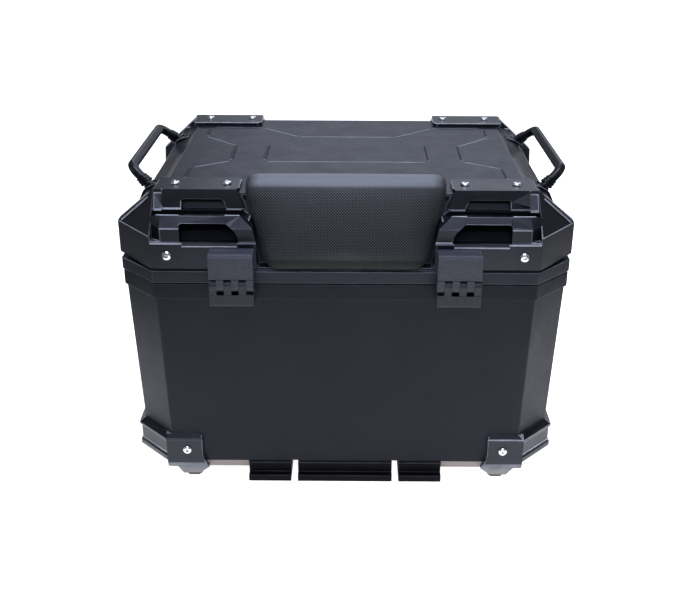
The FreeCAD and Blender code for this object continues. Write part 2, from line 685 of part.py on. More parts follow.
bay_keep = common("bay_keep", bay_keep_a, bay_keep_b)
notch_keep = []
notch_cut = []
for i, sx in enumerate(SX):
    for j, sy in enumerate(SX):
        y0, y1 = (79.5, 102.5) if sy > 0 else (-102.5, -79.5)
        a, b = (189.5, 232.0)
        x0, x1 = (a, b) if sx > 0 else (-b, -a)
        notch_cut.append(box("notch_%d%d" % (i, j), x0, x1, y0, y1, 276, 322))
        a, b = (186.3, 235.0)
        x0, x1 = (a, b) if sx > 0 else (-b, -a)
        notch_keep.append(box("notch_keep_%d%d" % (i, j), x0, x1, y0 - 3, y1 + 3, 273, 322))
lid_hollow = cut("lid_hollow", lid_hollow_raw, bay_keep, *notch_keep)

# screws of the lid corner guards
top_screws = [(sx * x, sy * 134.3, 312.7, (0, 0, -1)) for sx in SX for sy in SX for x in (168.7, 117.4)]
face_screws = [(sx * 171.8, sy * 189.0, 257.6, (0, -sy, 0)) for sx in SX for sy in SX]
lid_cutters = []
for i, (x, y, z, d) in enumerate(top_screws + face_screws):
    lid_cutters.append(hole("lid_guard_hole_%d" % i, screw_rad + 0.1, (x, y, z), d, 1, 18))
for i, x in enumerate(hx_screws):
    lid_cutters.append(hole("lid_hinge_hole_%d" % i, screw_rad + 0.1, (x, -176, 254.0), (0, -1, 0), 0, 14))
for i, (x, z) in enumerate(((8.5, 240.0), (30.5, 240.0))):
    lid_cutters.append(hole("lid_strike_hole_%d" % i, 2.1, (x, 176, z), (0, 1, 0), 0, 11.2))
for i, (x, z) in enumerate(((-60, 258), (60, 258), (-60, 290), (60, 290))):
    lid_cutters.append(hole("lid_pad_hole_%d" % i, 2.1, (x, -140, z), (0, NP[0], NP[1]), 20, 50))
for i, (sx, sy) in enumerate(((a, b) for a in SX for b in SX)):
    lid_cutters.append(hole("lid_handle_hole_%d" % i, 2.1, (sx * 199.0, sy * 92.5, 270), (0, 0, 1), 0, 8))
lid_shell = node("lid_shell", cut("lid_shell", lid_body, lid_hollow, pad_bay, *(notch_cut + lid_cutters)))

# ------------------------------------------------------------------ lid corner guards
envelope = stacked(
    "envelope",
    [
        (guard_low_z, guard_x, guard_y, 39.0, 47.0),
        (guard_crease_z, guard_x, guard_y, 39.0, 47.0),
        (guard_top_z, 187.4, 153.0, 0.0, 0.0),
    ],
)
wing_plan = xprism(
    "wing_plan",
    -240,
    -187.0,
    [(-200, 240), (-124, 240), (-124, 256), (-130, 277), (-139, 300), (-141, 314), (-200, 314)],
)
guard_corner = common("guard_corner", envelope, wing_plan)
guard_profile = xprism(
    "guard_profile",
    -179.0,
    -86.0,
    [
        (-145, 312.7),
        (-152.6, 312.7),
        (-158.6, 295.2),
        (-160.2, 294.2),
        (-160.2, 293.0),
        (-156.4, 292.6),
        (-156.4, 288.0),
        (-172.5, 288.0),
        (-174.6, 294.3),
        (-176.1, 294.6),
        (-185.6, 285.0),
        (-186.4, 283.6),
        (-186.4, 271.2),
        (-189.0, 269.6),
        (-189.0, 244.2),
        (-180.0, 244.2),
        (-180.0, 262),
        (-145, 300),
    ],
)
# the outer end of the upper tier leans back further than the rest
guard_profile_end = xprism(
    "guard_profile_end",
    -188.6,
    -179.0,
    [
        (-145, 312.7),
        (-150.6, 312.7),
        (-160.9, 295.0),
        (-162.0, 294.2),
        (-162.0, 293.0),
        (-156.4, 292.6),
        (-156.4, 288.0),
        (-172.5, 288.0),
        (-174.6, 294.3),
        (-176.1, 294.6),
        (-185.6, 285.0),
        (-186.4, 283.6),
        (-186.4, 271.2),
        (-189.0, 269.6),
        (-189.0, 244.2),
        (-180.0, 244.2),
        (-180.0, 262),
        (-145, 300),
    ],
)
guard_profiles = fuse("guard_profiles", guard_profile, guard_profile_end)
guard_front_plan = yprism(
    "guard_front_plan",
    -200,
    -110,
    [(-188.6, 240), (-86, 240), (-86, 270), (-89.2, 284.6), (-102.0, 294.7), (-98.8, 294.9), (-106.6, 312.7), (-106.6, 314), (-188.6, 314)],
)
guard_front_raw = common("guard_front_raw", guard_profiles, guard_front_plan)
# outer end of the lower tier: a facet turned outwards, with a second one on its slope
tier_facet = zprism("tier_facet", 271.2, 300, [(-177.6, -186.5), (-188.6, -177.7), (-200, -177.7), (-200, -200), (-177.6, -200)])
slope_cut = slanted_box("slope_cut", (-177.6, -186.2, 284.6), (0, 9.9, 9.9), (-8.2, 6.0, 2.1), 40, 40, 20)
slope_zone = box("slope_zone", -200, -177.6, -200, -172.6, 278, 300)
slope_facet = common("slope_facet", slope_cut, slope_zone)
# the skirt's upper edge is chamfered under the low window
skirt_notch = xprism("skirt_notch", -156.4, -104.2, [(-189.3, 266.4), (-186.2, 269.9), (-186.2, 272), (-190.5, 272), (-190.5, 266.4)])
guard_front = cut("guard_front", guard_front_raw, tier_facet, slope_facet, skirt_notch)
# a raised rib along the outer edge of the corner facet
guard_rib_bar = slanted_box("guard_rib_bar", (-222.87, -146.26, 279.70), (40.1, -11.0, 35.7), (0.2345, -0.823, -0.517), 41, 2.6, 1.8)
guard_plate = zprism(
    "guard_plate",
    lid_top_z,
    guard_top_z,
    [(-187.4, -152.6), (-106.4, -152.6), (-104.4, -146), (-104.4, -119), (-109, -113.2), (-184.5, -113.2), (-187.4, -117)],
)
window_low = yprism(
    "window_low",
    -200,
    -150,
    [(-158.6, 270.4), (-102.2, 270.4), (-103.2, 275.6), (-106.6, 281.4), (-111.0, 285.6), (-115.6, 287.9), (-157.6, 287.9), (-159.1, 286.4), (-159.1, 270.9)],
)
window_high = yprism(
    "window_high",
    -200,
    -147.5,
    [(-160.3, 293.6), (-115.7, 293.6), (-119.3, 301.6), (-121.2, 303.4), (-158.6, 303.4), (-160.3, 301.8)],
)
g_all = fuse("g_all", guard_corner, guard_front, guard_plate, guard_rib_bar)
g_holes = [hole("g_hole_%d" % i, screw_rad + 0.1, p, d, 3, 22) for i, (p, d) in enumerate((((-168.7, -134.3, 314), (0, 0, -1)), ((-117.4, -134.3, 314), (0, 0, -1)), ((-171.8, -190, 257.6), (0, 1, 0)), ((-98.0, -190, 254.0), (0, 1, 0)), ((-120.0, -190, 254.0), (0, 1, 0))))]
guard_fl = node("lid_guard_front_left", cut("lid_guard_front_left", g_all, lid_body, window_low, window_high, *g_holes))
node("lid_guard_front_right", mirror("lid_guard_front_right", guard_fl, (1, 0, 0)))
g_rear_holes = g_holes[:3]
guard_rl_src = cut("guard_rear_source", g_all, window_low, window_high, *g_rear_holes)
guard_rl_raw = mirror("guard_rear_raw", guard_rl_src, (0, 1, 0))
guard_rl = node("lid_guard_rear_left", cut("lid_guard_rear_left", guard_rl_raw, lid_body))
node("lid_guard_rear_right", mirror("lid_guard_rear_right", guard_rl, (1, 0, 0)))
doc.recompute()
node("lid_guard_screws", copies("lid_guard_screws", m5_top, [((x, y, z), d) for x, y, z, d in top_screws + face_screws]))
lg_nuts = [((x, y, 304.75), (0, 0, -1)) for x, y, z, d in top_screws]
lg_nuts += [((x, math.copysign(181.2, y), z), d) for x, y, z, d in face_screws]
node("lid_guard_nuts", copies("lid_guard_nuts", m5_nut, lg_nuts))

# ------------------------------------------------------------------ backrest


def on_bay(s, d):
    return (-172 + TP[0] * s + NP[0] * d, 244.2 + TP[1] * s + NP[1] * d)


plate_prof = xprism("pad_plate_prof", -99, 99, [on_bay(3, 0.02), on_bay(3, 2.5), on_bay(59, 2.5), on_bay(59, 0.02)])
plate_trim = yprism("pad_plate_trim", -200, -140, [(-78, 240), (78, 240), (93, 305), (-93, 305)])
plate_raw = common("pad_plate_raw", plate_prof, plate_trim)
plate_holes = [hole("pad_plate_hole_%d" % i, 2.05, (x, -140, z), NP3, 20, 50) for i, (x, z, NP3) in enumerate(((-60, 258, (0, NP[0], NP[1])), (60, 258, (0, NP[0], NP[1])), (-60, 290, (0, NP[0], NP[1])), (60, 290, (0, NP[0], NP[1]))))]
node("pad_backing_plate", cut("pad_backing_plate", plate_raw, *plate_holes))
pad_prof = xprism(
    "pad_prof",
    -98.5,
    98.5,
    [
        on_bay(2.2, 2.6),
        (-185.4, 245.4),
        (-185.4, 242.4),
        (-187.8, 241.8),
        (-190.2, 243.4),
        (-190.8, 248.5),
        (-189.6, 258),
        (-163.0, 320.1),
        (-158.5, 325.0),
        (-152.0, 327.0),
        (-143.0, 325.0),
        (-118.0, 313.0),
        (-113, 309.2),
        (-112.4, 308.2),
        (-146.8, 308.2),
        (-147.4, 303.0),
        on_bay(59.6, 2.6),
    ],
)
pad_side = [(70, 241), (76.2, 245.5), (79.2, 253), (82, 268), (86.5, 281), (91.5, 293.5), (95.8, 306), (97.6, 318), (96.5, 323), (93, 327.5)]
pad_trim = yprism("pad_trim", -200, -100, [(-x, z) for x, z in pad_side[::-1]] + pad_side)
pad_raw = common("pad_raw", pad_prof, pad_trim)
pad_screw_places = []


def bay_hit(z_ref):
    """Where the line through (-140, z_ref) along the bay normal meets the lid's inner bay wall."""
    # the inner wall lies 3.2 mm behind the bay floor
    y, z = -140.0, z_ref
    d = (y + 172) * NP[0] + (z - 244.2) * NP[1]
    t = -3.22 - d
    return (y + NP[0] * t, z + NP[1] * t)


for x, z in ((-60, 258), (60, 258), (-60, 290), (60, 290)):
    yy, zz = bay_hit(z)
    pad_screw_places.append(((x, yy, zz), (0, NP[0], NP[1])))
pad_pockets = []
for i, ((x, yy, zz), d) in enumerate(pad_screw_places):
    pad_pockets.append(hole("pad_pocket_%d" % i, 2.3, (x, yy, zz), d, 0, 13))
node("backrest_pad", cut("backrest_pad", pad_raw, *pad_pockets))
doc.recompute()
node("pad_screws", copies("pad_screws", m4_screw, pad_screw_places))

# ------------------------------------------------------------------ lid hinges
fw = (hinge_out_x - hinge_in_x) / 6


def finger(name, k, up):
    x0 = -hinge_out_x + fw * k + 0.09
    x1 = -hinge_out_x + fw * (k + 1) - 0.09
    barrel = cyl(name + "_barrel", knuckle_rad, fw - 0.18, x0, hinge_axis_y, hinge_axis_z, "X")
    if up:
        web = box(name + "_web", x0, x1, hinge_axis_y - 6.99, hinge_axis_y + 6.99, hinge_axis_z, hinge_axis_z + 8.6)
    else:
        web = box(name + "_web", x0, x1, hinge_axis_y - 6.99, hinge_axis_y + 6.99, hinge_axis_z - 8.6, hinge_axis_z)
    return [barrel, web]


upper_leaf = xprism("upper_leaf", -hinge_out_x, -hinge_in_x, [(-189.02, 240.6), (-208.9, 240.6), (-208.9, 262.4), (-206.0, 265.6), (-189.02, 265.6)])
upper_parts = [upper_leaf]
for k in (1, 3, 5):
    upper_parts += finger("lid_finger_%d" % k, k, True)
upper_solid = fuse("hinge_upper_solid", *upper_parts)
upper_bore = cyl("upper_bore", pin_rad + run_gap, 60, -139, hinge_axis_y, hinge_axis_z, "X")
upper_holes = [hole("upper_hole_%d" % i, screw_rad + 0.02, (x, -188, 254.0), (0, -1, 0), 0, 12) for i, x in enumerate((-98.0, -120.0))]
hinge_ul = node("hinge_upper_left", cut("hinge_upper_left", upper_solid, upper_bore, *upper_holes))
node("hinge_upper_right", mirror("hinge_upper_right", hinge_ul, (1, 0, 0)))

lower_leaf = xprism("lower_leaf", -hinge_out_x, -hinge_in_x, [(-187.42, 225.3), (-208.9, 225.3), (-209.4, 214.4), (-206.6, 212.2), (-187.42, 212.2)])
lower_parts = [lower_leaf]
for k in (0, 2, 4):
    lower_parts += finger("base_finger_%d" % k, k, False)
lower_solid = fuse("hinge_lower_solid", *lower_parts)
lower_bore = cyl("lower_bore", pin_rad + 0.03, 60, -139, hinge_axis_y, hinge_axis_z, "X")
lower_holes = [hole("lower_hole_%d" % i, screw_rad + 0.02, (x, -186, 219.2), (0, -1, 0), 0, 14) for i, x in enumerate((-98.0, -120.0))]
hinge_ll = node("hinge_lower_left", cut("hinge_lower_left", lower_solid, lower_bore, *lower_holes))
node("hinge_lower_right", mirror("hinge_lower_right", hinge_ll, (1, 0, 0)))
pin_l = node("hinge_pin_left", cyl("hinge_pin_left", pin_rad, hinge_out_x - hinge_in_x - 0.6, -hinge_out_x + 0.3, hinge_axis_y, hinge_axis_z, "X"))
node("hinge_pin_right", mirror("hinge_pin_right", pin_l, (1, 0, 0)))


def backing(name, y0, y1, z0, z1, zs, xin=90):
    out = []
    for sx in SX:
        b = box(name + "_%s" % ("l" if sx < 0 else "r"), min(sx * xin, sx * 128), max(sx * xin, sx * 128), y0, y1, z0, z1)
        hs = [hole(name + "_h%d%d" % (sx, i), screw_rad + 0.1, (sx * x, y0 - 1, zs), (0, 1, 0), 0, 6) for i, x in enumerate((98.0, 120.0))]
        out.append(cut(name + "_c%s" % ("l" if sx < 0 else "r"), b, *hs))
    return node(name, group(name, *out))


backing("hinge_backing_base", -182.1, -180.1, 213.0, 225.4, 219.2)
backing("hinge_backing_lid", -181.28, -179.28, 246.5, 261.5, 254.0, 94.2)
doc.recompute()
node("hinge_screws_base", copies("hinge_screws_base", m5_long, [((x, -180.1, 219.2), (0, -1, 0)) for x in hx_screws]))
node("hinge_screws_lid", copies("hinge_screws_lid", m5_long, [((x, -179.28, 254.0), (0, -1, 0)) for x in hx_screws]))

# ------------------------------------------------------------------ side handles
TILT = math.degrees(math.atan2(20.5, 23.5))


def handle(side):
    """A moulded bail: two hubs on the pivot line, legs, and a grip bar with rounded corners."""
    sx = -1 if side == "left" else 1
    leg = float(handle_leg)
    hub = float(handle_hub_y)
    bar_y = 82.0
    rc = 15.0
    # route in the bail's own plane: u along the legs, v along the case
    pts = [(4.0, -hub + 1.2), (leg, -bar_y - 0.5), (leg, bar_y + 0.5), (4.0, hub - 1.2)]

    def P(u, v):
        return V(u, v, 0)

    edges = []
    prev = P(*pts[0])
    for i in (1, 2):
        c = P(*pts[i])
        a = (P(*pts[i - 1]) - c).normalize()
        b = (P(*pts[i + 1]) - c).normalize()
        half = math.acos(max(-1, min(1, a.dot(b)))) / 2
        t = rc / math.tan(half)
        p1, p2 = c + a * t, c + b * t
        mid_dir = (a + b).normalize()
        centre = c + mid_dir * (rc / math.sin(half))
        pm = centre - mid_dir * rc
        edges.append(Part.LineSegment(prev, p1).toShape())
        edges.append(Part.Arc(p1, pm, p2).toShape())
        prev = p2
    edges.append(Part.LineSegment(prev, P(*pts[3])).toShape())
    path = Part.Wire(edges)
    start = P(*pts[0])
    tangent = (P(*pts[1]) - start).normalize()
    # section: 10.4 wide in the bail's plane, 8.6 through it, with rounded corners
    w, t2, rr = 5.2, 4.3, 3.0
    side_dir = tangent.cross(V(0, 0, 1)).normalize()

    def Q(a, b):
        return start + side_dir * a + V(0, 0, b)

    prof = []
    k = rr * (1 - math.sqrt(0.5))
    corners = [(1, 1), (-1, 1), (-1, -1), (1, -1)]
    raw = []
    for ca, cb in corners:
        if ca * cb > 0:
            raw.append((Q(ca * w, cb * (t2 - rr)), Q(ca * (w - k), cb * (t2 - k)), Q(ca * (w - rr), cb * t2)))
        else:
            raw.append((Q(ca * (w - rr), cb * t2), Q(ca * (w - k), cb * (t2 - k)), Q(ca * w, cb * (t2 - rr))))
    for i in range(4):
        a, m, b = raw[i]
        prof.append(Part.Arc(a, m, b).toShape())
        nxt = raw[(i + 1) % 4][0]
        prof.append(Part.LineSegment(b, nxt).toShape())
    section = Part.Wire(prof)
    bail = path.makePipeShell([section], True, False)
    pieces = [bail]
    # stepped collars round the root of each leg
    for sy in (-1, 1):
        base = V(4.0, sy * (hub - 1.2), 0)
        top = V(leg, sy * (bar_y + 0.5), 0)
        dirv = (top - base).normalize()
        sd = dirv.cross(V(0, 0, 1)).normalize()
        for s, hw, ht in ((8.8, 6.6, 5.6), (12.0, 6.3, 5.3), (15.2, 6.0, 5.0)):
            c = base + dirv * s
            b = Part.makeBox(2 * hw, 2 * ht, 2.1)
            b = b.makeFillet(2.4, [e for e in b.Edges if abs(e.Length - 2.1) < 1e-6])
            pl = Place()
            pl.Base = c - sd * hw - V(0, 0, ht) - dirv * 1.05
            pl.Rotation = Rot(sd, V(0, 0, 1), dirv, "XYZ")
            b.Placement = pl
            pieces.append(b)
        hubc = Part.makeCylinder(6.4, 9.4, V(0, sy * hub - 4.7, 0), V(0, 1, 0))
        neck_b = Part.makeBox(9.0, 8.6, 8.6, V(0, sy * (hub - 0.2) - 4.3, -4.3))
        pieces += [hubc, neck_b]
    body = pieces[0].multiFuse(pieces[1:]).removeSplitter()
    for sy in (-1, 1):
        body = body.cut(Part.makeCylinder(float(pin_rad) + float(run_gap), 30, V(0, sy * hub - 15, 0), V(0, 1, 0)))
    solids = body.Solids
    o = doc.addObject("Part::Feature", "handle_" + side)
    o.Shape = solids[0] if len(solids) == 1 else body
    # the bail's plane rises outwards from the pivot line
    rot = Rot(V(0, 1, 0), -TILT)
    if sx < 0:
        rot = Rot(V(0, 0, 1), 180).multiply(rot)
    o.Placement = Place(V(sx * float(handle_axis_x), 0, float(handle_axis_z)), rot)
    return o


node("handle_left", handle("left"))
node("handle_right", handle("right"))

br_profile = [(189.7, 276.1), (215.4, 276.1), (216.4, 277.5), (208.6, 294.6), (205.6, 297.6), (199, 301.2), (193.2, 302.6), (189.7, 303.6)]
br_parts = {}
for side, sx in (("left", -1), ("right", 1)):
    made = []
    for sy in SX:
        y0, y1 = (79.7, 102.3) if sy > 0 else (-102.3, -79.7)
        nm = "bracket_%s_%s" % (side, "rear" if sy > 0 else "front")
        pts = [(sx * a, b) for a, b in br_profile]
        blk = yprism(nm + "_block", y0, y1, pts)
        c0, c1 = (84.0, 97.9) if sy > 0 else (-97.9, -84.0)
        hub_room = cyl(nm + "_hub_room", 7.0, c1 - c0, sx * 199.0, c0, 293.5, "Y")
        # sector swept by the leg between its two stops
        room = []
        for a_deg in (63, 41, 19, -3, -25, -32):
            a = math.radians(a_deg)
            ux, uz = math.cos(a), math.sin(a)
            nx, nz = -uz, ux
            w = 6.0
            q = [(199 + nx * w, 293.5 + nz * w), (199 - nx * w, 293.5 - nz * w), (199 - nx * w + ux * 40, 293.5 - nz * w + uz * 40), (199 + nx * w + ux * 40, 293.5 + nz * w + uz * 40)]
            room.append(yprism("%s_room_%d" % (nm, len(room)), c0, c1, [(sx * a2, b2) for a2, b2 in q]))
            # beyond the hub the leg leans inwards and carries collars, so it needs more width
            w = 6.6
            q = [(199 + nx * w + ux * r2, 293.5 + nz * w + uz * r2) for r2 in (6.9, 42)]
            q += [(199 - nx * w + ux * r2, 293.5 - nz * w + uz * r2) for r2 in (42, 6.9)]
            r0, r1 = (78.0, 98.6) if sy > 0 else (-98.6, -78.0)
            room.append(yprism("%s_room_%d" % (nm, len(room)), r0, r1, [(sx * a2, b2) for a2, b2 in q]))
        pinhole = cyl(nm + "_pinhole", pin_rad + 0.03, 40, sx * 199.0, sy * 92.5 - 20, 293.5, "Y")
        foot_hole = cyl(nm + "_foothole", 2.02, 11.0, sx * 199.0, sy * 92.5, 275.0)
        made.append(cut(nm, blk, hub_room, *(room + [pinhole, foot_hole])))
    br_parts[side] = made
    node("handle_brackets_" + side, group("handle_brackets_" + side, *made))
    pins = [cyl("handle_pin_%s_%d" % (side, i), pin_rad, 21.2, sx * 199.0, 80.2 if sy > 0 else -101.4, 293.5, "Y") for i, sy in enumerate(SX)]
    node("handle_pins_" + side, group("handle_pins_" + side, *pins))
node("handle_screws", copies("handle_screws", m4_screw, [((sx * 199.0, sy * 92.5, 272.98), (0, 0, 1)) for sx in SX for sy in SX]))

# ------------------------------------------------------------------ key lock
# the housing sits on the drafted back wall: its back is trimmed by the tub itself
lock_prof = xprism("lock_prof", -34, 34, [(178, 152), (197, 152), (203.6, 160), (205.2, 212), (201, 222), (178, 222)])
lock_plan = zprism("lock_plan", 140, 230, [(-34, 170), (34, 170), (34, 198), (27, 206), (-27, 206), (-34, 198)])
lock_raw = common("lock_raw", lock_prof, lock_plan)
lock_bore = hole("lock_bore", 9.05, (0, 170, 195), (0, 1, 0), 0, 50)
lock_holes = [hole("lock_screw_hole_%d" % i, 2.02, (x, 176, z), (0, 1, 0), 0, 22) for i, (x, z) in enumerate(((-20, 176), (20, 176), (-20, 214), (20, 214)))]
lock_room = hole("lock_face_recess", 12.5, (0, 203.2, 195), (0, 1, 0), 0, 6)
node("lock_housing", cut("lock_housing", lock_raw, tub_solid, lock_bore, lock_room, *lock_holes))
barrel_a = hole("barrel_a", 9.0, (0, 174.0, 195), (0, 1, 0), 0, 30.0)
barrel_face = hole("barrel_face", 10.5, (0, 203.25, 195), (0, 1, 0), 0, 1.6)
key_slot = box("key_slot", -1.1, 1.1, 199.0, 206.0, 191, 199)
tail_disc = hole("tail_disc", 8.6, (0, 168.6, 195), (0, 1, 0), 0, 5.5)
drive_pin = hole("drive_pin", 2.0, (-5.0, 161.0, 200.0), (0, 1, 0), 0, 8.0)
barrel = fuse("barrel", barrel_a, barrel_face, tail_disc, drive_pin)
node("lock_cylinder", cut("lock_cylinder", barrel, key_slot))
nut_ring = hole("lock_nut_outer", 13.0, (0, 177.2, 195), (0, 1, 0), 0, 3.9)
nut_bore = hole("lock_nut_bore", 9.05, (0, 177.0, 195), (0, 1, 0), 0, 8.0)
node("lock_nut", cut("lock_nut", nut_ring, nut_bore))
# slide bolt driven sideways by the cylinder's offset pin
bolt_bar = box("bolt_bar", -14, 11.4, 161.5, 166.5, 187.5, 206.5)
bolt_slot = box("bolt_slot", -7.35, -2.65, 160, 168, 195.5, 204.8)
bolt_tip = box("bolt_tip", 11.0, 20.5, 161.5, 166.5, 190, 200)
bolt_a = fuse("bolt_a", bolt_bar, bolt_tip)
node("lock_bolt", cut("lock_bolt", bolt_a, bolt_slot))
guide_back = box("guide_back", -22, 26, 166.7, 168.4, 184, 210)
guide_top = box("guide_top", -22, 26, 159.5, 168.4, 206.8, 210)
guide_low = box("guide_low", -22, 26, 159.5, 168.4, 184, 187.2)
guide_foot_l = box("guide_foot_l", -26, -22, 159.5, 181.25, 184, 210)
guide_clear = hole("guide_clear", 9.2, (0, 165, 195), (0, 1, 0), 0, 6)
guide_gap = box("guide_gap", 21.0, 30.0, 150, 185, 180, 215)
guide_solid = fuse("guide_solid", guide_back, guide_top, guide_low, guide_foot_l)
node("lock_guide", cut("lock_guide", guide_solid, guide_clear, guide_gap))
doc.recompute()
node("lock_screws", copies("lock_screws", m4_screw, [((x, y, z), (0, 1, 0)) for x, y, z in ((-20, 180.9, 176), (20, 180.9, 176), (-20, 181.95, 214), (20, 181.95, 214))]))
# strike on the lid: hangs into the tub's mouth beside the bolt
strike_plate_x = xprism("strike_web", 22.2, 24.8, [(158.5, 186.5), (170, 186.5), (172, 232), (181.2, 236), (181.2, 246), (158.5, 246)])
strike_window = box("strike_window", 20, 27, 161.0, 167.0, 189.4, 200.6)
strike_foot = box("strike_foot", 2.5, 34.5, 178.8, 181.2, 233.5, 246)
strike_all = fuse("strike_all", strike_plate_x, strike_foot)
strike_holes = [hole("strike_hole_%d" % i, 2.1, (x, 176, z), (0, 1, 0), 0, 8) for i, (x, z) in enumerate(((8.5, 240.0), (30.5, 240.0)))]
node("lid_strike", cut("lid_strike", strike_all, strike_window, *strike_holes))
m4_short = screw_shape("m4_short", 2.0, 3.8, 2.2, 8.0, 2.5)
doc.recompute()
node("lid_strike_screws", copies("lid_strike_screws", m4_short, [((x, 178.8, 240.0), (0, 1, 0)) for x in (8.5, 30.5)]))
doc.recompute()

# ------------------------------------------------------------------ checks and files
for o in doc.Objects:
    if "Invalid" in o.State or "Error" in o.State:
        failures.append("%s (%s): %s" % (o.Name, o.TypeId, o.State))
for name, o in nodes.items():
    s = o.Shape
    if s.isNull() or not s.isValid() or not s.Solids or s.Volume <= 0:
        failures.append("%s: shape is null or not valid" % name)
if failures:
    raise RuntimeError("; ".join(failures))
os.makedirs("parts", exist_ok=True)
for name, o in nodes.items():
    o.Shape.exportStep("parts/%s.step" % name)
print("%d sub-parts written" % len(nodes))
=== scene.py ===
import json
import math

import bmesh
import bpy
import numpy as np
from mathutils import Matrix, Vector


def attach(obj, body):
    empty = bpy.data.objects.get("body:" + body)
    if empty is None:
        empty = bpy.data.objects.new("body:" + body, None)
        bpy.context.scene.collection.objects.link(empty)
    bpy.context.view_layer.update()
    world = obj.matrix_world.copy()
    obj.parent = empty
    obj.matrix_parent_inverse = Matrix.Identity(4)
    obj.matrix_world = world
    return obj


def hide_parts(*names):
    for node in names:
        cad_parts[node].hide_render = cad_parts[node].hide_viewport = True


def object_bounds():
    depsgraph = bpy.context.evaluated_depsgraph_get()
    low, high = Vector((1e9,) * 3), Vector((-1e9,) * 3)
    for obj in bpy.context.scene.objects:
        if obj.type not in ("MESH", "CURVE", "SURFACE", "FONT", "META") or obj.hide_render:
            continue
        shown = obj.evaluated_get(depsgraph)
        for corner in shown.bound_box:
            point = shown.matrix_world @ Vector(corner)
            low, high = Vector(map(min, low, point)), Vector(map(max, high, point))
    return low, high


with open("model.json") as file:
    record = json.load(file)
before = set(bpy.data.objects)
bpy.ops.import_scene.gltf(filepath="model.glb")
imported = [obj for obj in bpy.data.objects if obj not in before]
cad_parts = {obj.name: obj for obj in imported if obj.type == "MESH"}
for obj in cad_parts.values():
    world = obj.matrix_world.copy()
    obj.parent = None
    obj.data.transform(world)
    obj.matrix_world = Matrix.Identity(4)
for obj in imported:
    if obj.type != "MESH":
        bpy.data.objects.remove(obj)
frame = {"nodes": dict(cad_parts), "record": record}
lo0, hi0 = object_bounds()
BODY_OF = {n: b for b, ns in frame["record"]["behaviour"]["bodies"].items() for n in ns}
SLOT_OF = {s["node"]: s["material_slot"] for s in frame["record"]["subparts"]}
scene = bpy.context.scene
MM = 0.001


# ---------------------------------------------------------------- node helpers
class Nodes:
    """A short way to build a node tree."""

    def __init__(self, name):
        self.mat = bpy.data.materials.new(name)
        self.mat.use_nodes = True
        self.t = self.mat.node_tree
        self.t.nodes.clear()
        self.out = self.t.nodes.new("ShaderNodeOutputMaterial")
        self.bsdf = self.t.nodes.new("ShaderNodeBsdfPrincipled")
        self.t.links.new(self.bsdf.outputs[0], self.out.inputs[0])
        self.co = self.t.nodes.new("ShaderNodeTexCoord").outputs["Object"]

    def link(self, a, b):
        self.t.links.new(a, b)

    def noise(self, scale, detail=2.0, rough=0.5, vec=None, distortion=0.0):
        n = self.t.nodes.new("ShaderNodeTexNoise")
        n.inputs["Scale"].default_value = scale
        n.inputs["Detail"].default_value = detail
        n.inputs["Roughness"].default_value = rough
        n.inputs["Distortion"].default_value = distortion
        self.link(vec or self.co, n.inputs["Vector"])
        return n.outputs["Fac"]

    def voronoi(self, scale, vec=None):
        n = self.t.nodes.new("ShaderNodeTexVoronoi")
        n.inputs["Scale"].default_value = scale
        self.link(vec or self.co, n.inputs["Vector"])
        return n.outputs["Distance"]

    def map(self, fac, a, b, c, d):
        n = self.t.nodes.new("ShaderNodeMapRange")
        for k, v in zip(("From Min", "From Max", "To Min", "To Max"), (a, b, c, d)):
            n.inputs[k].default_value = v
        self.link(fac, n.inputs["Value"])
        return n.outputs["Result"]

    def ramp(self, fac, stops):
        n = self.t.nodes.new("ShaderNodeValToRGB")
        e = n.color_ramp.elements
        while len(e) < len(stops):
            e.new(0.5)
        for k, (p, c) in enumerate(stops):
            e[k].position = p
            e[k].color = (*c, 1)
        self.link(fac, n.inputs["Fac"])
        return n.outputs["Color"]

    def math(self, op, a, b=None, c=None):
        n = self.t.nodes.new("ShaderNodeMath")
        n.operation = op
        for k, v in enumerate((a, b, c)):
            if v is None:
                continue
            if isinstance(v, (int, float)):
                n.inputs[k].default_value = v
            else:
                self.link(v, n.inputs[k])
        return n.outputs[0]

    def mix(self, fac, a, b):
        n = self.t.nodes.new("ShaderNodeMix")
        n.data_type = "RGBA"
        for sock, v in ((n.inputs["Factor"], fac), (n.inputs["A"], a), (n.inputs["B"], b)):
            if isinstance(v, (int, float)):
                sock.default_value = v
            elif isinstance(v, tuple):
                sock.default_value = (*v, 1)
            else:
                self.link(v, sock)
        return n.outputs["Result"]

    def attr(self, name):
        n = self.t.nodes.new("ShaderNodeAttribute")
        n.attribute_name = name
        return n.outputs["Fac"]

    def split(self, vec=None):
        n = self.t.nodes.new("ShaderNodeSeparateXYZ")
        self.link(vec or self.co, n.inputs[0])
        return n.outputs

    def bump(self, height, strength, dist, normal=None):
        n = self.t.nodes.new("ShaderNodeBump")
        n.inputs["Strength"].default_value = strength
        n.inputs["Distance"].default_value = dist
        self.link(height, n.inputs["Height"])
        if normal is not None:
            self.link(normal, n.inputs["Normal"])
        return n.outputs[0]

    def set(self, **kw):
        for k, v in kw.items():
            s = self.bsdf.inputs[k.replace("_", " ")]
            if isinstance(v, tuple):
                s.default_value = (*v, 1)
            elif isinstance(v, (int, float)):
                s.default_value = v
            else:
                self.link(v, s)
        return self


def srgb(h):
    out = []
    for i in (1, 3, 5):
        c = int(h[i : i + 2], 16) / 255
        out.append(c / 12.92 if c <= 0.04045 else ((c + 0.055) / 1.055) ** 2.4)
    return tuple(out)


def scaled(c, k):
    return tuple(min(1.0, v * k) for v in c)


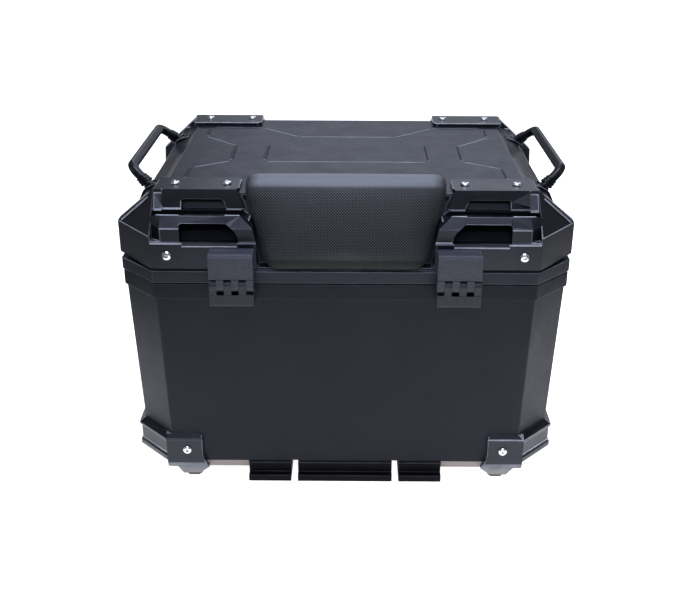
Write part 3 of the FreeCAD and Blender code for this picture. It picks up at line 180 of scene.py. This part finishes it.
# ---------------------------------------------------------------- materials
def moulded(name, colour, rough, grain=0.10, size=1500.0, spec=0.35, wear_and_highlight="#50525c", under_tub_shade_and_reflection=False, painted_foot_reflection=False):
    """Satin moulded plastic: a fine spark-eroded grain, slow changes of tone, and edges lightened by wear and painted
    highlights.
    """
    n = Nodes(name)
    c = srgb(colour)
    tone = n.noise(9.0, 4.0, 0.55)
    base = n.ramp(tone, [(0.3, scaled(c, 0.90)), (0.7, scaled(c, 1.12))])
    raw = n.attr("edge")
    edge = n.math("MULTIPLY", n.math("MAXIMUM", raw, 0.0), n.map(n.noise(60.0, 3.0), 0.35, 0.65, 0.55, 1.0))
    # marked edges mix towards a light colour: edge wear and painted highlight
    col = n.mix(edge, base, srgb(wear_and_highlight))
    if under_tub_shade_and_reflection:
        # painted shade along the skirt under the tub, and outside the plate's tabs a painted floor reflection
        xyz = n.split()
        low = n.map(xyz[2], 0.0200, 0.0207, 1.0, 0.0)
        col = n.mix(n.math("MULTIPLY", low, 0.8), col, srgb("#050507"))
        out = n.map(n.math("ABSOLUTE", xyz[0]), 0.097, 0.102, 0.0, 1.0)
        floor_reflection = n.math("MULTIPLY", n.math("MULTIPLY", low, out), 0.85)
        col = n.mix(floor_reflection, col, srgb("#9a8f8b"))
    if painted_foot_reflection:
        # the undersides of the corner feet get a painted floor reflection
        low = n.map(n.split()[2], 0.0105, 0.0135, 1.0, 0.0)
        col = n.mix(n.math("MULTIPLY", low, 0.5), col, srgb("#857d7a"))
    scuff = n.noise(140.0, 5.0, 0.65, distortion=0.6)
    r = n.map(n.noise(35.0, 3.0), 0.3, 0.7, rough - 0.035, rough + 0.045)
    r = n.math("ADD", r, n.map(scuff, 0.45, 0.75, 0.0, 0.04))
    r = n.math("SUBTRACT", r, n.math("MULTIPLY", raw, 0.07))
    r = n.math("ADD", r, n.math("MULTIPLY", n.math("MAXIMUM", n.math("MULTIPLY", raw, -1.0), 0.0), 0.25))
    fine = n.noise(size, 2.0, 0.6)
    pits = n.voronoi(size * 0.55)
    h = n.math("ADD", fine, n.math("MULTIPLY", pits, 0.6))
    nrm = n.bump(h, grain, 0.0003)
    n.set(Base_Color=col, Roughness=r, Normal=nrm, Specular_IOR_Level=spec)
    n.bsdf.inputs["Specular Tint"].default_value = (0.86, 0.88, 1.0, 1)
    return n.mat


def coated(name, colour, rough, grain=0.35, size=900.0):
    """Textured powder coat on a die-cast hinge."""
    n = Nodes(name)
    c = srgb(colour)
    fleck = n.noise(size * 0.8, 3.0, 0.7)
    low = n.ramp(fleck, [(0.35, scaled(c, 0.42)), (0.5, scaled(c, 0.6)), (0.68, scaled(c, 0.9))])
    high = n.ramp(fleck, [(0.35, scaled(c, 0.95)), (0.5, scaled(c, 1.3)), (0.68, scaled(c, 1.85))])
    # the upper halves are lighter than the lower ones
    base = n.mix(n.map(n.split()[2], 0.222, 0.246, 0.0, 1.0), low, high)
    # edges lightened by the edge wear and painted highlight marks
    edge = n.math("MULTIPLY", n.attr("edge"), n.map(n.noise(80.0, 3.0), 0.35, 0.65, 0.3, 1.0))
    col = n.mix(edge, base, scaled(c, 2.0))
    r = n.map(n.noise(60.0, 3.0), 0.3, 0.7, rough - 0.04, rough + 0.05)
    h = n.math("ADD", n.noise(size, 2.0, 0.6), n.math("MULTIPLY", n.voronoi(size * 0.6), 0.8))
    n.set(Base_Color=col, Roughness=r, Normal=n.bump(h, grain, 0.0003), Specular_IOR_Level=0.4)
    return n.mat


def metal(name, colour, rough, brushed=0.0, tarnish=0.15):
    n = Nodes(name)
    c = srgb(colour)
    tone = n.noise(55.0, 4.0, 0.6)
    col = n.ramp(tone, [(0.3, scaled(c, 1.0 - tarnish)), (0.7, c)])
    r = n.map(n.noise(240.0, 3.0), 0.3, 0.7, rough - 0.05, rough + 0.08)
    x = n.split()
    if brushed:
        comb = n.t.nodes.new("ShaderNodeCombineXYZ")
        n.link(n.math("MULTIPLY", x[0], 60.0), comb.inputs[0])
        n.link(n.math("MULTIPLY", x[1], 900.0), comb.inputs[1])
        n.link(n.math("MULTIPLY", x[2], 900.0), comb.inputs[2])
        h = n.noise(1.0, 2.0, 0.5, vec=comb.outputs[0])
        nrm = n.bump(h, brushed, 0.0001)
    else:
        nrm = n.bump(n.noise(500.0, 2.0), 0.05, 0.0001)
    n.set(Base_Color=col, Roughness=r, Metallic=1.0, Normal=nrm)
    return n.mat


def rubber(name, colour):
    n = Nodes(name)
    c = srgb(colour)
    base = n.ramp(n.noise(30.0, 4.0), [(0.3, scaled(c, 0.85)), (0.7, scaled(c, 1.3))])
    r = n.map(n.noise(200.0, 3.0), 0.3, 0.7, 0.62, 0.78)
    n.set(Base_Color=base, Roughness=r, Normal=n.bump(n.noise(1200.0, 2.0), 0.2, 0.0003), Specular_IOR_Level=0.3)
    return n.mat


def felt(name, colour):
    n = Nodes(name)
    c = srgb(colour)
    fibre = n.noise(700.0, 6.0, 0.75, distortion=1.5)
    base = n.ramp(fibre, [(0.3, scaled(c, 0.6)), (0.52, c), (0.7, scaled(c, 1.7))])
    n.set(Base_Color=base, Roughness=0.95, Normal=n.bump(fibre, 0.7, 0.0012), Specular_IOR_Level=0.1)
    n.bsdf.inputs["Sheen Weight"].default_value = 0.25
    n.bsdf.inputs["Sheen Roughness"].default_value = 0.6
    return n.mat


def woven_vinyl(name, colour, light):
    """Vinyl embossed with a fine diagonal weave on its face, plain along its sides."""
    n = Nodes(name)
    c, l = srgb(colour), srgb(light)
    u, v = n.attr("weave_u"), n.attr("weave_v")
    k = math.pi / 0.00138
    a = n.math("COSINE", n.math("MULTIPLY", u, k))
    b = n.math("COSINE", n.math("MULTIPLY", v, k))
    cell = n.math("MULTIPLY", a, b)  # staggered rows of small raised knots
    knot = n.map(cell, 0.38, 0.92, 0.0, 1.0)
    face = n.attr("weave_face")
    knot = n.math("MULTIPLY", knot, face)
    slow = n.noise(22.0, 4.0, 0.6)
    dark = n.ramp(slow, [(0.3, scaled(c, 0.85)), (0.7, scaled(c, 1.12))])
    col = n.mix(n.math("MULTIPLY", knot, 0.95), dark, l)
    # painted sheen: the rolled top edge gets a smooth, pale colour standing in for the highlight of the light above
    painted_sheen = n.attr("painted_sheen_band")
    col = n.mix(n.math("MULTIPLY", painted_sheen, 0.84), col, srgb("#6f727a"))
    r = n.map(knot, 0.0, 1.0, 0.52, 0.36)
    r = n.math("ADD", r, n.map(face, 0.0, 1.0, 0.22, 0.0))
    crease = n.noise(260.0, 3.0, 0.6)
    h = n.math("ADD", n.math("MULTIPLY", knot, 1.0), n.math("MULTIPLY", crease, 0.10))
    nrm = n.bump(h, 0.45, 0.0004)
    n.set(Base_Color=col, Roughness=r, Normal=nrm, Specular_IOR_Level=0.45)
    n.bsdf.inputs["Sheen Weight"].default_value = 0.05
    return n.mat


MAT = {
    "shell_plastic": moulded("shell_plastic", "#121218", 0.42, grain=0.10, size=1700, spec=0.22, wear_and_highlight="#464850", under_tub_shade_and_reflection=True),
    "lid_plastic": moulded("lid_plastic", "#13151d", 0.39, grain=0.12, size=1500, spec=0.36, wear_and_highlight="#7e818d"),
    "guard_plastic": moulded("guard_plastic", "#101117", 0.32, grain=0.08, size=1700, spec=0.46, wear_and_highlight="#b2b5bf", painted_foot_reflection=True),
    "handle_plastic": moulded("handle_plastic", "#0a0b0f", 0.30, grain=0.05, size=1700, spec=0.42, wear_and_highlight="#3c3e46"),
    "hinge_metal": coated("hinge_metal", "#2f313a", 0.42),
    "bright_screw": metal("bright_screw", "#e6e8ec", 0.20, tarnish=0.06),
    "steel": metal("steel", "#9a9ea3", 0.34, brushed=0.12),
    "brass": metal("brass", "#b0904f", 0.32),
    "lock_chrome": metal("lock_chrome", "#c3c7cc", 0.22),
    "rubber": rubber("rubber", "#131315"),
    "mat_fabric": felt("mat_fabric", "#1f2126"),
    "pad_vinyl": woven_vinyl("pad_vinyl", "#040406", "#60656f"),
    "plate_plastic": moulded("plate_plastic", "#08080a", 0.50, grain=0.22, size=1100, spec=0.10, wear_and_highlight="#34353a"),
}


# ---------------------------------------------------------------- mesh helpers
def place(name, me, node, mat=None):
    """A new piece that rides with its CAD node's body and stands for it."""
    o = bpy.data.objects.new(name, me)
    scene.collection.objects.link(o)
    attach(o, BODY_OF[node])
    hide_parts(node)
    me.materials.clear()
    me.materials.append(mat or MAT[SLOT_OF[node]])
    return o


def clean_bmesh(node, planar=1.0):
    bm = bmesh.new()
    bm.from_mesh(frame["nodes"][node].data)
    bmesh.ops.remove_doubles(bm, verts=bm.verts, dist=3e-6)
    bmesh.ops.dissolve_limit(bm, angle_limit=math.radians(planar), use_dissolve_boundaries=False, verts=bm.verts, edges=bm.edges)
    return bm


def wear_and_highlight_layer(bm):
    return bm.faces.layers.float.get("edge") or bm.faces.layers.float.new("edge")


FACETED = ("base_shell", "lid_shell", "lid_guard_", "bottom_guard_front", "bottom_guard_rear", "guard_feet", "mounting_plate", "hinge_upper", "hinge_lower")


def refine(node, width=0.6, seg=3, angle=28.0, minlen=2.2, planar=0.8, smooth_angle=33.0):
    """The CAD node's own shape with moulded, rounded edges and clean shading."""
    bm = clean_bmesh(node, planar)
    layer = wear_and_highlight_layer(bm)
    faceted = node.startswith(FACETED) and not node.endswith(("screws", "nuts"))
    lim = math.radians(13.0 if faceted and not node.startswith("hinge") else angle)
    pick = []
    w = width * MM
    for e in bm.edges:
        if len(e.link_faces) != 2 or e.calc_length() < minlen * MM:
            continue
        if e.calc_face_angle(0.0) < lim:
            continue
        ok = True
        for f in e.link_faces:
            if f.calc_area() / max(e.calc_length(), 1e-9) < 1.6 * w:
                ok = False
        # every other edge that meets an end has to be long enough to take the rounding
        for v in e.verts:
            for o in v.link_edges:
                if o is not e and o.calc_length() < 1.7 * w:
                    ok = False
        if ok:
            pick.append(e)
    if pick and width > 0:
        r = bmesh.ops.bevel(bm, geom=pick, offset=w, offset_type="OFFSET", segments=seg, profile=0.5, affect="EDGES", clamp_overlap=False, loop_slide=True)
        bm.normal_update()
        for f in r["faces"]:
            # bevel faces are marked for edge wear and painted highlight; edges that look upwards get the full painted
            # highlight
            up = 1.0 if f.normal.z > 0.15 else 0.3
            f[layer] = up * (0.6 if node in ("lid_shell", "base_shell") else 1.0)
    big = [f for f in bm.faces if len(f.verts) > 4]
    if big:
        bmesh.ops.triangulate(bm, faces=big, quad_method="BEAUTY", ngon_method="BEAUTY")
    flat_lim = math.radians(3.0 if not node.startswith("hinge") else 17.0)
    for f in bm.faces:
        f.smooth = True
    for e in bm.edges:
        if len(e.link_faces) != 2:
            continue
        a = e.calc_face_angle(0.0)
        rounded = e.link_faces[0][layer] > 0.1 or e.link_faces[1][layer] > 0.1
        e.smooth = a < (math.radians(smooth_angle) if rounded or not faceted else flat_lim)
    bm.normal_update()
    if node == "lid_shell":
        for f in bm.faces:
            # the front of each bead gets a painted highlight line, its sides stay dull
            if f.calc_center_median().z > 0.30801 and 0.9 < f.normal.z < 0.9999:
                k = f.normal.y / math.hypot(f.normal.x, f.normal.y)
                f[layer] = 0.65 if k < -0.6 else (0.0 if k > 0.6 or f.normal.x * f.calc_center_median().x > 0 else -1.0)
    if node.startswith("lid_guard_front"):
        side = -1.0 if node.endswith("left") else 1.0
        fn_, fp = Vector((side * 0.640, -0.531, 0.555)), Vector((side * 0.2275, -0.142, 0.277))
        for f in bm.faces:
            # the raised rib that crosses the corner facet gets a painted highlight
            if f.normal.dot(fn_) > 0.97 and (f.calc_center_median() - fp).dot(fn_) > 0.0004:
                f[layer] = 0.8
    if node.startswith("bottom_guard_") and not node.endswith(("screws", "nuts")):
        # painted floor reflection on the downward faces of the bottom guards
        for f in bm.faces:
            if f.normal.z < -0.2 and f.normal.z > -0.97:
                f[layer] = 0.4
    me = bpy.data.meshes.new(node + "_look")
    bm.to_mesh(me)
    bm.free()
    o = place(node + "_look", me, node)
    m = o.modifiers.new("normals", "WEIGHTED_NORMAL")
    m.keep_sharp = True
    m.weight = 80
    return o


def lathe_screw(bm, p, d, head_r, head_h, rad, length, across, layer):
    """A button head screw with a hexagon socket. p is under the head, d runs down the shank."""
    z = Vector(d).normalized()
    x = z.orthogonal().normalized()
    y = z.cross(x)
    o = Vector(p)
    n = 36

    def ring(r, h, hexa=False):
        out = []
        for i in range(n):
            a = 2 * math.pi * i / n
            rr = r
            if hexa:
                # distance to the side of a hexagon of this width across flats
                b = (a + math.pi / 6) % (math.pi / 3) - math.pi / 6
                rr = r / math.cos(b)
            out.append(bm.verts.new(o + x * (rr * math.cos(a)) + y * (rr * math.sin(a)) + z * h))
        return out

    s = across / 2
    rings = [
        ring(s * 0.96, -head_h + head_h * 0.60, True),
        ring(s, -head_h + 0.12 * MM, True),
        ring(s + 0.12 * MM, -head_h + 0.01 * MM, True),
        ring(head_r * 0.56, -head_h + 0.02 * MM),
        ring(head_r * 0.70, -head_h * 0.93),
        ring(head_r * 0.84, -head_h * 0.77),
        ring(head_r * 0.94, -head_h * 0.54),
        ring(head_r * 0.995, -head_h * 0.30),
        ring(head_r, -head_h * 0.12),
        ring(head_r * 0.985, -0.005 * MM),
        ring(rad, 0.0),
        ring(rad, length - 0.5 * MM),
        ring(rad - 0.45 * MM, length),
    ]
    faces = []
    for a, b in zip(rings, rings[1:]):
        for i in range(n):
            j = (i + 1) % n
            faces.append(bm.faces.new((a[i], b[i], b[j], a[j])))
    faces.append(bm.faces.new(rings[0]))
    faces.append(bm.faces.new(rings[-1][::-1]))
    for f in faces:
        f.smooth = True


def screws(node, places, head_r, head_h, rad, length, across):
    bm = bmesh.new()
    layer = wear_and_highlight_layer(bm)
    for p, d in places:
        lathe_screw(bm, [c * MM for c in p], d, head_r * MM, head_h * MM, rad * MM, length * MM, across * MM, layer)
    bmesh.ops.recalc_face_normals(bm, faces=bm.faces)
    me = bpy.data.meshes.new(node + "_look")
    bm.to_mesh(me)
    bm.free()
    me.set_sharp_from_angle(angle=math.radians(38))
    return place(node + "_look", me, node)


SGN = (-1, 1)
top_screws = [((sx * x, sy * 134.3, 312.7), (0, 0, -1)) for sx in SGN for sy in SGN for x in (168.7, 117.4)]
face_screws = [((sx * 171.8, sy * 189.0, 257.6), (0, -sy, 0)) for sx in SGN for sy in SGN]
bg_front = [((sx * 166.0, sy * 185.9, 37.0), (0, -sy, 0)) for sx in SGN for sy in SGN]
bg_side = [((sx * 220.2, sy * 132.0, 37.0), (-sx, 0, 0)) for sx in SGN for sy in SGN]
screws("lid_guard_screws", top_screws + face_screws, 4.74, 2.74, 2.49, 12.9, 3.0)
screws("bottom_guard_screws", bg_front + bg_side, 4.74, 2.74, 2.49, 13.9, 3.0)
screws("floor_bolts", [((x, y, 24.5), (0, 0, -1)) for x, y in ((-80, -60), (80, -60), (-80, 60), (80, 60))], 4.74, 2.74, 2.49, 12.9, 3.0)
screws("catch_screws", [((x, 150, 24.5), (0, 0, -1)) for x in (-22, 22)], 4.74, 2.74, 2.49, 12.9, 3.0)
hx = [sx * x for sx in SGN for x in (98.0, 120.0)]
screws("hinge_screws_base", [((x, -180.1, 219.2), (0, -1, 0)) for x in hx], 4.74, 2.74, 2.49, 18.9, 3.0)
screws("hinge_screws_lid", [((x, -179.28, 254.0), (0, -1, 0)) for x in hx], 4.74, 2.74, 2.49, 18.9, 3.0)

# ---------------------------------------------------------------- carried-over shapes
for node, width in (
    ("base_shell", 0.9),
    ("lid_shell", 0.8),
    ("lid_guard_front_left", 0.7),
    ("lid_guard_front_right", 0.7),
    ("lid_guard_rear_left", 0.7),
    ("lid_guard_rear_right", 0.7),
    ("bottom_guard_front_left", 0.8),
    ("bottom_guard_front_right", 0.8),
    ("bottom_guard_rear_left", 0.8),
    ("bottom_guard_rear_right", 0.8),
    ("guard_feet", 0.8),
    ("mounting_plate", 0.8),
    ("hinge_upper_left", 0.55),
    ("hinge_upper_right", 0.55),
    ("hinge_lower_left", 0.55),
    ("hinge_lower_right", 0.55),
    ("handle_brackets_left", 0.25),
    ("handle_brackets_right", 0.25),
    ("handle_left", 0.35),
    ("handle_right", 0.35),
    ("lock_housing", 0.9),
    ("release_pull", 0.8),
    ("catch_housing", 0.5),
    ("catch_bolt", 0.4),
    ("floor_mat", 0.5),
    ("lock_cylinder", 0.3),
    ("lock_nut", 0.3),
    ("lock_guide", 0.4),
    ("lock_bolt", 0.3),
    ("lid_strike", 0.3),
    ("hinge_backing_base", 0.3),
    ("hinge_backing_lid", 0.3),
    ("rim_seal", 0.15),
    ("lid_guard_nuts", 0.2),
    ("bottom_guard_nuts", 0.2),
    ("pad_backing_plate", 0.3),
    ("hinge_pin_left", 0.2),
    ("hinge_pin_right", 0.2),
    ("handle_pins_left", 0.2),
    ("handle_pins_right", 0.2),
    ("catch_springs", 0.0),
    ("plate_inserts", 0.2),
    ("handle_screws", 0.15),
    ("pad_screws", 0.15),
    ("lock_screws", 0.15),
    ("lid_strike_screws", 0.15),
):
    refine(node, width)


# ---------------------------------------------------------------- backrest pad
BAY = math.hypot(25.0, 55.8)
NPY, NPZ = -55.8 / BAY, 25.0 / BAY
TPY, TPZ = 25.0 / BAY, 55.8 / BAY


def pad():
    bm = clean_bmesh("backrest_pad", 0.5)
    me = bpy.data.meshes.new("backrest_pad_look")
    bm.to_mesh(me)
    bm.free()
    o = bpy.data.objects.new("backrest_pad_look", me)
    scene.collection.objects.link(o)
    bpy.context.view_layer.objects.active = o
    for q in bpy.context.selected_objects:
        q.select_set(False)
    o.select_set(True)
    r = o.modifiers.new("remesh", "REMESH")
    r.mode = "VOXEL"
    r.voxel_size = 0.004
    bpy.ops.object.modifier_apply(modifier="remesh")
    me = o.data
    n = len(me.vertices)
    co = np.zeros(n * 3, np.float32)
    me.vertices.foreach_get("co", co)
    rest = co.reshape(-1, 3).astype(float).copy()

    def depth(p):
        """Height above the bay floor, and height above the lid's top, in metres."""
        d = (p[:, 1] + 0.172) * NPY + (p[:, 2] - 0.2442) * NPZ
        return d, p[:, 2] - 0.308

    # round the corners first, keeping the back where it rests
    edges = np.zeros(len(me.edges) * 2, np.int32)
    me.edges.foreach_get("vertices", edges)
    edges = edges.reshape(-1, 2)
    cnt = np.bincount(edges.ravel(), minlength=n).astype(float)
    p = rest.copy()
    d0, t0 = depth(rest)
    back = (d0 < 0.0045) | ((t0 < 0.0022) & (d0 < 0.06) & (rest[:, 1] > -0.150))
    for it in range(12):
        s = np.zeros_like(p)
        np.add.at(s, edges[:, 0], p[edges[:, 1]])
        np.add.at(s, edges[:, 1], p[edges[:, 0]])
        q = s / cnt[:, None]
        q = p + 0.5 * (q - p)
        q[back] = p[back] * 0.75 + q[back] * 0.25
        p = q
    me.vertices.foreach_set("co", p.astype(np.float32).ravel())
    me.update()
    start = p.copy()
    group = o.vertex_groups.new(name="pin")
    group.add([int(i) for i in np.nonzero(back)[0]], 1.0, "REPLACE")
    c = o.modifiers.new("cloth", "CLOTH")
    c.settings.quality = 6
    c.settings.mass = 0.2
    c.settings.tension_stiffness = 18
    c.settings.compression_stiffness = 18
    c.settings.shear_stiffness = 8
    c.settings.bending_stiffness = 2.0
    c.settings.use_pressure = True
    c.settings.uniform_pressure_force = 4.0
    c.settings.vertex_group_mass = "pin"
    c.settings.effector_weights.gravity = 0.0
    c.point_cache.frame_start = 1
    c.point_cache.frame_end = 20
    for f in range(1, 21):
        scene.frame_set(f)
    dg = bpy.context.evaluated_depsgraph_get()
    ev = o.evaluated_get(dg)
    m2 = ev.to_mesh()
    co = np.zeros(n * 3, np.float32)
    m2.vertices.foreach_get("co", co)
    ev.to_mesh_clear()
    sim = co.reshape(-1, 3).astype(float)
    o.modifiers.remove(c)
    scene.frame_set(1)
    move = sim - start
    length = np.linalg.norm(move, axis=1)
    cap = 0.0045
    k = np.where(length > cap, cap / np.maximum(length, 1e-9), 1.0)
    p = start + move * k[:, None]
    # settle the ripples between neighbours
    for it in range(4):
        s = np.zeros_like(p)
        np.add.at(s, edges[:, 0], p[edges[:, 1]])
        np.add.at(s, edges[:, 1], p[edges[:, 0]])
        p = p + 0.5 * (s / cnt[:, None] - p)
    # the rounding must not make the cushion smaller than the moulded shape
    for k, (grow_lo, grow_hi) in enumerate(((0.0006, 0.0006), (0.0004, 0.0), (0.0, 0.0004))):
        a0, a1 = p[:, k].min(), p[:, k].max()
        b0, b1 = rest[:, k].min() - grow_lo, rest[:, k].max() + grow_hi
        p[:, k] = b0 + (p[:, k] - a0) * (b1 - b0) / (a1 - a0)
    # keep clear of the backing plate and of the lid
    d, t = depth(p)
    low = np.minimum(0.0026 - d, 0.02)
    inside = (d < 0.0026) & (p[:, 2] < 0.3045)
    p[inside, 1] += NPY * low[inside]
    p[inside, 2] += NPZ * low[inside]
    over = (p[:, 1] > -0.1475) & (p[:, 2] < 0.3083)
    p[over, 2] = 0.3083
    lo, hi = np.array(lo0), np.array(hi0)
    me.vertices.foreach_set("co", p.astype(np.float32).ravel())
    me.update()
    s = o.modifiers.new("soften", "SUBSURF")
    s.levels = 1
    s.render_levels = 1
    bpy.ops.object.modifier_apply(modifier="soften")
    me = o.data
    n = len(me.vertices)
    co = np.zeros(n * 3, np.float32)
    me.vertices.foreach_get("co", co)
    p = co.reshape(-1, 3).astype(float)
    nr = np.zeros(n * 3, np.float32)
    me.vertices.foreach_get("normal", nr)
    nr = nr.reshape(-1, 3).astype(float)
    # how far round the front each point lies, so that the weave keeps its pitch over the top edge
    slope = (p[:, 1] + 0.172) * TPY + (p[:, 2] - 0.2442) * TPZ
    # along the face the slope counts; over the top edge the run backwards does
    top = np.clip((p[:, 1] + 0.1625) / 0.006, 0, 1)
    v = slope * (1 - top) + (0.0735 + (p[:, 1] + 0.163)) * top
    u = p[:, 0]
    face = np.clip((nr[:, 1] * NPY + nr[:, 2] * NPZ - 0.30) / 0.22, 0, 1)
    face = np.maximum(face, np.clip((nr[:, 2] - 0.35) / 0.25, 0, 1))
    face *= np.clip((slope - 0.0002) / 0.003, 0, 1)
    face *= np.clip((0.0825 + (p[:, 2] - 0.2425) * 0.19 - np.abs(p[:, 0])) / 0.004, 0, 1)
    # painted sheen band over the rolled top edge, where it faces up
    painted_sheen = np.clip((slope - 0.0708) / 0.0026, 0, 1) * np.clip((0.0955 - np.abs(p[:, 0])) / 0.012, 0, 1) * np.clip((nr[:, 2] - 0.1) / 0.3, 0, 1)
    for name, val in (("weave_u", u), ("weave_v", v), ("weave_face", face), ("painted_sheen_band", painted_sheen)):
        a = me.attributes.new(name, "FLOAT", "POINT")
        a.data.foreach_set("value", val.astype(np.float32))
    for f in me.polygons:
        f.use_smooth = True
    me.materials.clear()
    me.materials.append(MAT["pad_vinyl"])
    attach(o, "lid")
    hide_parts("backrest_pad")
    return o


pad()

# ---------------------------------------------------------------- floor, light, camera
def area(name, loc, target, sx, sy, power, colour=(1, 1, 1)):
    l = bpy.data.lights.new(name, "AREA")
    l.shape = "RECTANGLE"
    l.size, l.size_y = sx, sy
    l.energy = power
    l.color = colour
    o = bpy.data.objects.new(name, l)
    scene.collection.objects.link(o)
    o.location = loc
    o.rotation_euler = (Vector(target) - Vector(loc)).to_track_quat("-Z", "Y").to_euler()
    return o


fm = bpy.data.meshes.new("floor")
fm.from_pydata([(-9, -9, 0), (9, -9, 0), (9, 12, 0), (-9, 12, 0)], [], [(0, 1, 2, 3)])
floor = bpy.data.objects.new("floor", fm)
scene.collection.objects.link(floor)
fn = Nodes("floor_white")
fn.set(Base_Color=(0.9, 0.9, 0.9), Roughness=0.9, Specular_IOR_Level=0.1)
xyz = fn.split()
wedge = fn.math("MULTIPLY", xyz[1], 0.34)
wedge = fn.math("SUBTRACT", fn.math("ABSOLUTE", fn.math("SUBTRACT", xyz[0], 0.045)), wedge)
glow = fn.map(wedge, 0.50, 0.66, 1.0, 0.08)
fn.set(Base_Color=fn.mix(glow, (0.02, 0.02, 0.02), (0.9, 0.9, 0.9)))
fn.set(Emission_Strength=fn.math("MULTIPLY", glow, fn.map(xyz[0], 0.0, 0.45, 0.96, 1.35)))
fn.bsdf.inputs["Emission Color"].default_value = (1, 1, 1, 1)
fm.materials.append(fn.mat)

COOL = (0.86, 0.93, 1.12)
area("back_soft", (0.85, 3.2, 2.3), (0.0, 0.0, 0.3), 3.4, 1.7, 31, COOL)
area("top_soft", (0.0, -0.1, 1.9), (0, -0.1, 0.25), 1.4, 0.9, 26, COOL)
area("key_soft", (0.0, -1.75, 1.75), (0, -0.1, 0.3), 1.6, 0.4, 12, COOL)
area("left_soft", (-2.4, -0.5, 0.9), (0, 0, 0.2), 1.0, 1.2, 2, COOL)
area("right_soft", (2.4, -0.5, 0.9), (0, 0, 0.2), 1.0, 1.2, 2, COOL)

world = bpy.data.worlds.new("studio")
scene.world = world
world.use_nodes = True
bg = world.node_tree.nodes["Background"]
bg.inputs[0].default_value = (1, 1, 1, 1)
bg.inputs[1].default_value = 0.15
scene.view_settings.view_transform = "Standard"
scene.view_settings.look = "None"

F = 985.0
cam = bpy.data.cameras.new("camera")
cam.sensor_width = 36.0
cam.lens = 36.0 * F / 693.0
cam.clip_start, cam.clip_end = 0.05, 60
cam_o = bpy.data.objects.new("camera", cam)
scene.collection.objects.link(cam_o)
pitch, yaw, roll = (math.radians(a) for a in (24.1, -0.279, 0.213))
fwd = Vector((math.sin(yaw) * math.cos(pitch), math.cos(yaw) * math.cos(pitch), -math.sin(pitch)))
right = Vector((math.cos(yaw), -math.sin(yaw), 0))
up = right.cross(fwd)
r2 = right * math.cos(roll) + up * math.sin(roll)
u2 = -right * math.sin(roll) + up * math.cos(roll)
rot = Matrix((r2, u2, -fwd)).transposed().to_4x4()
cam_o.matrix_world = Matrix.Translation((0.0054, -1.0687, 0.6055)) @ rot
scene.camera = cam_o
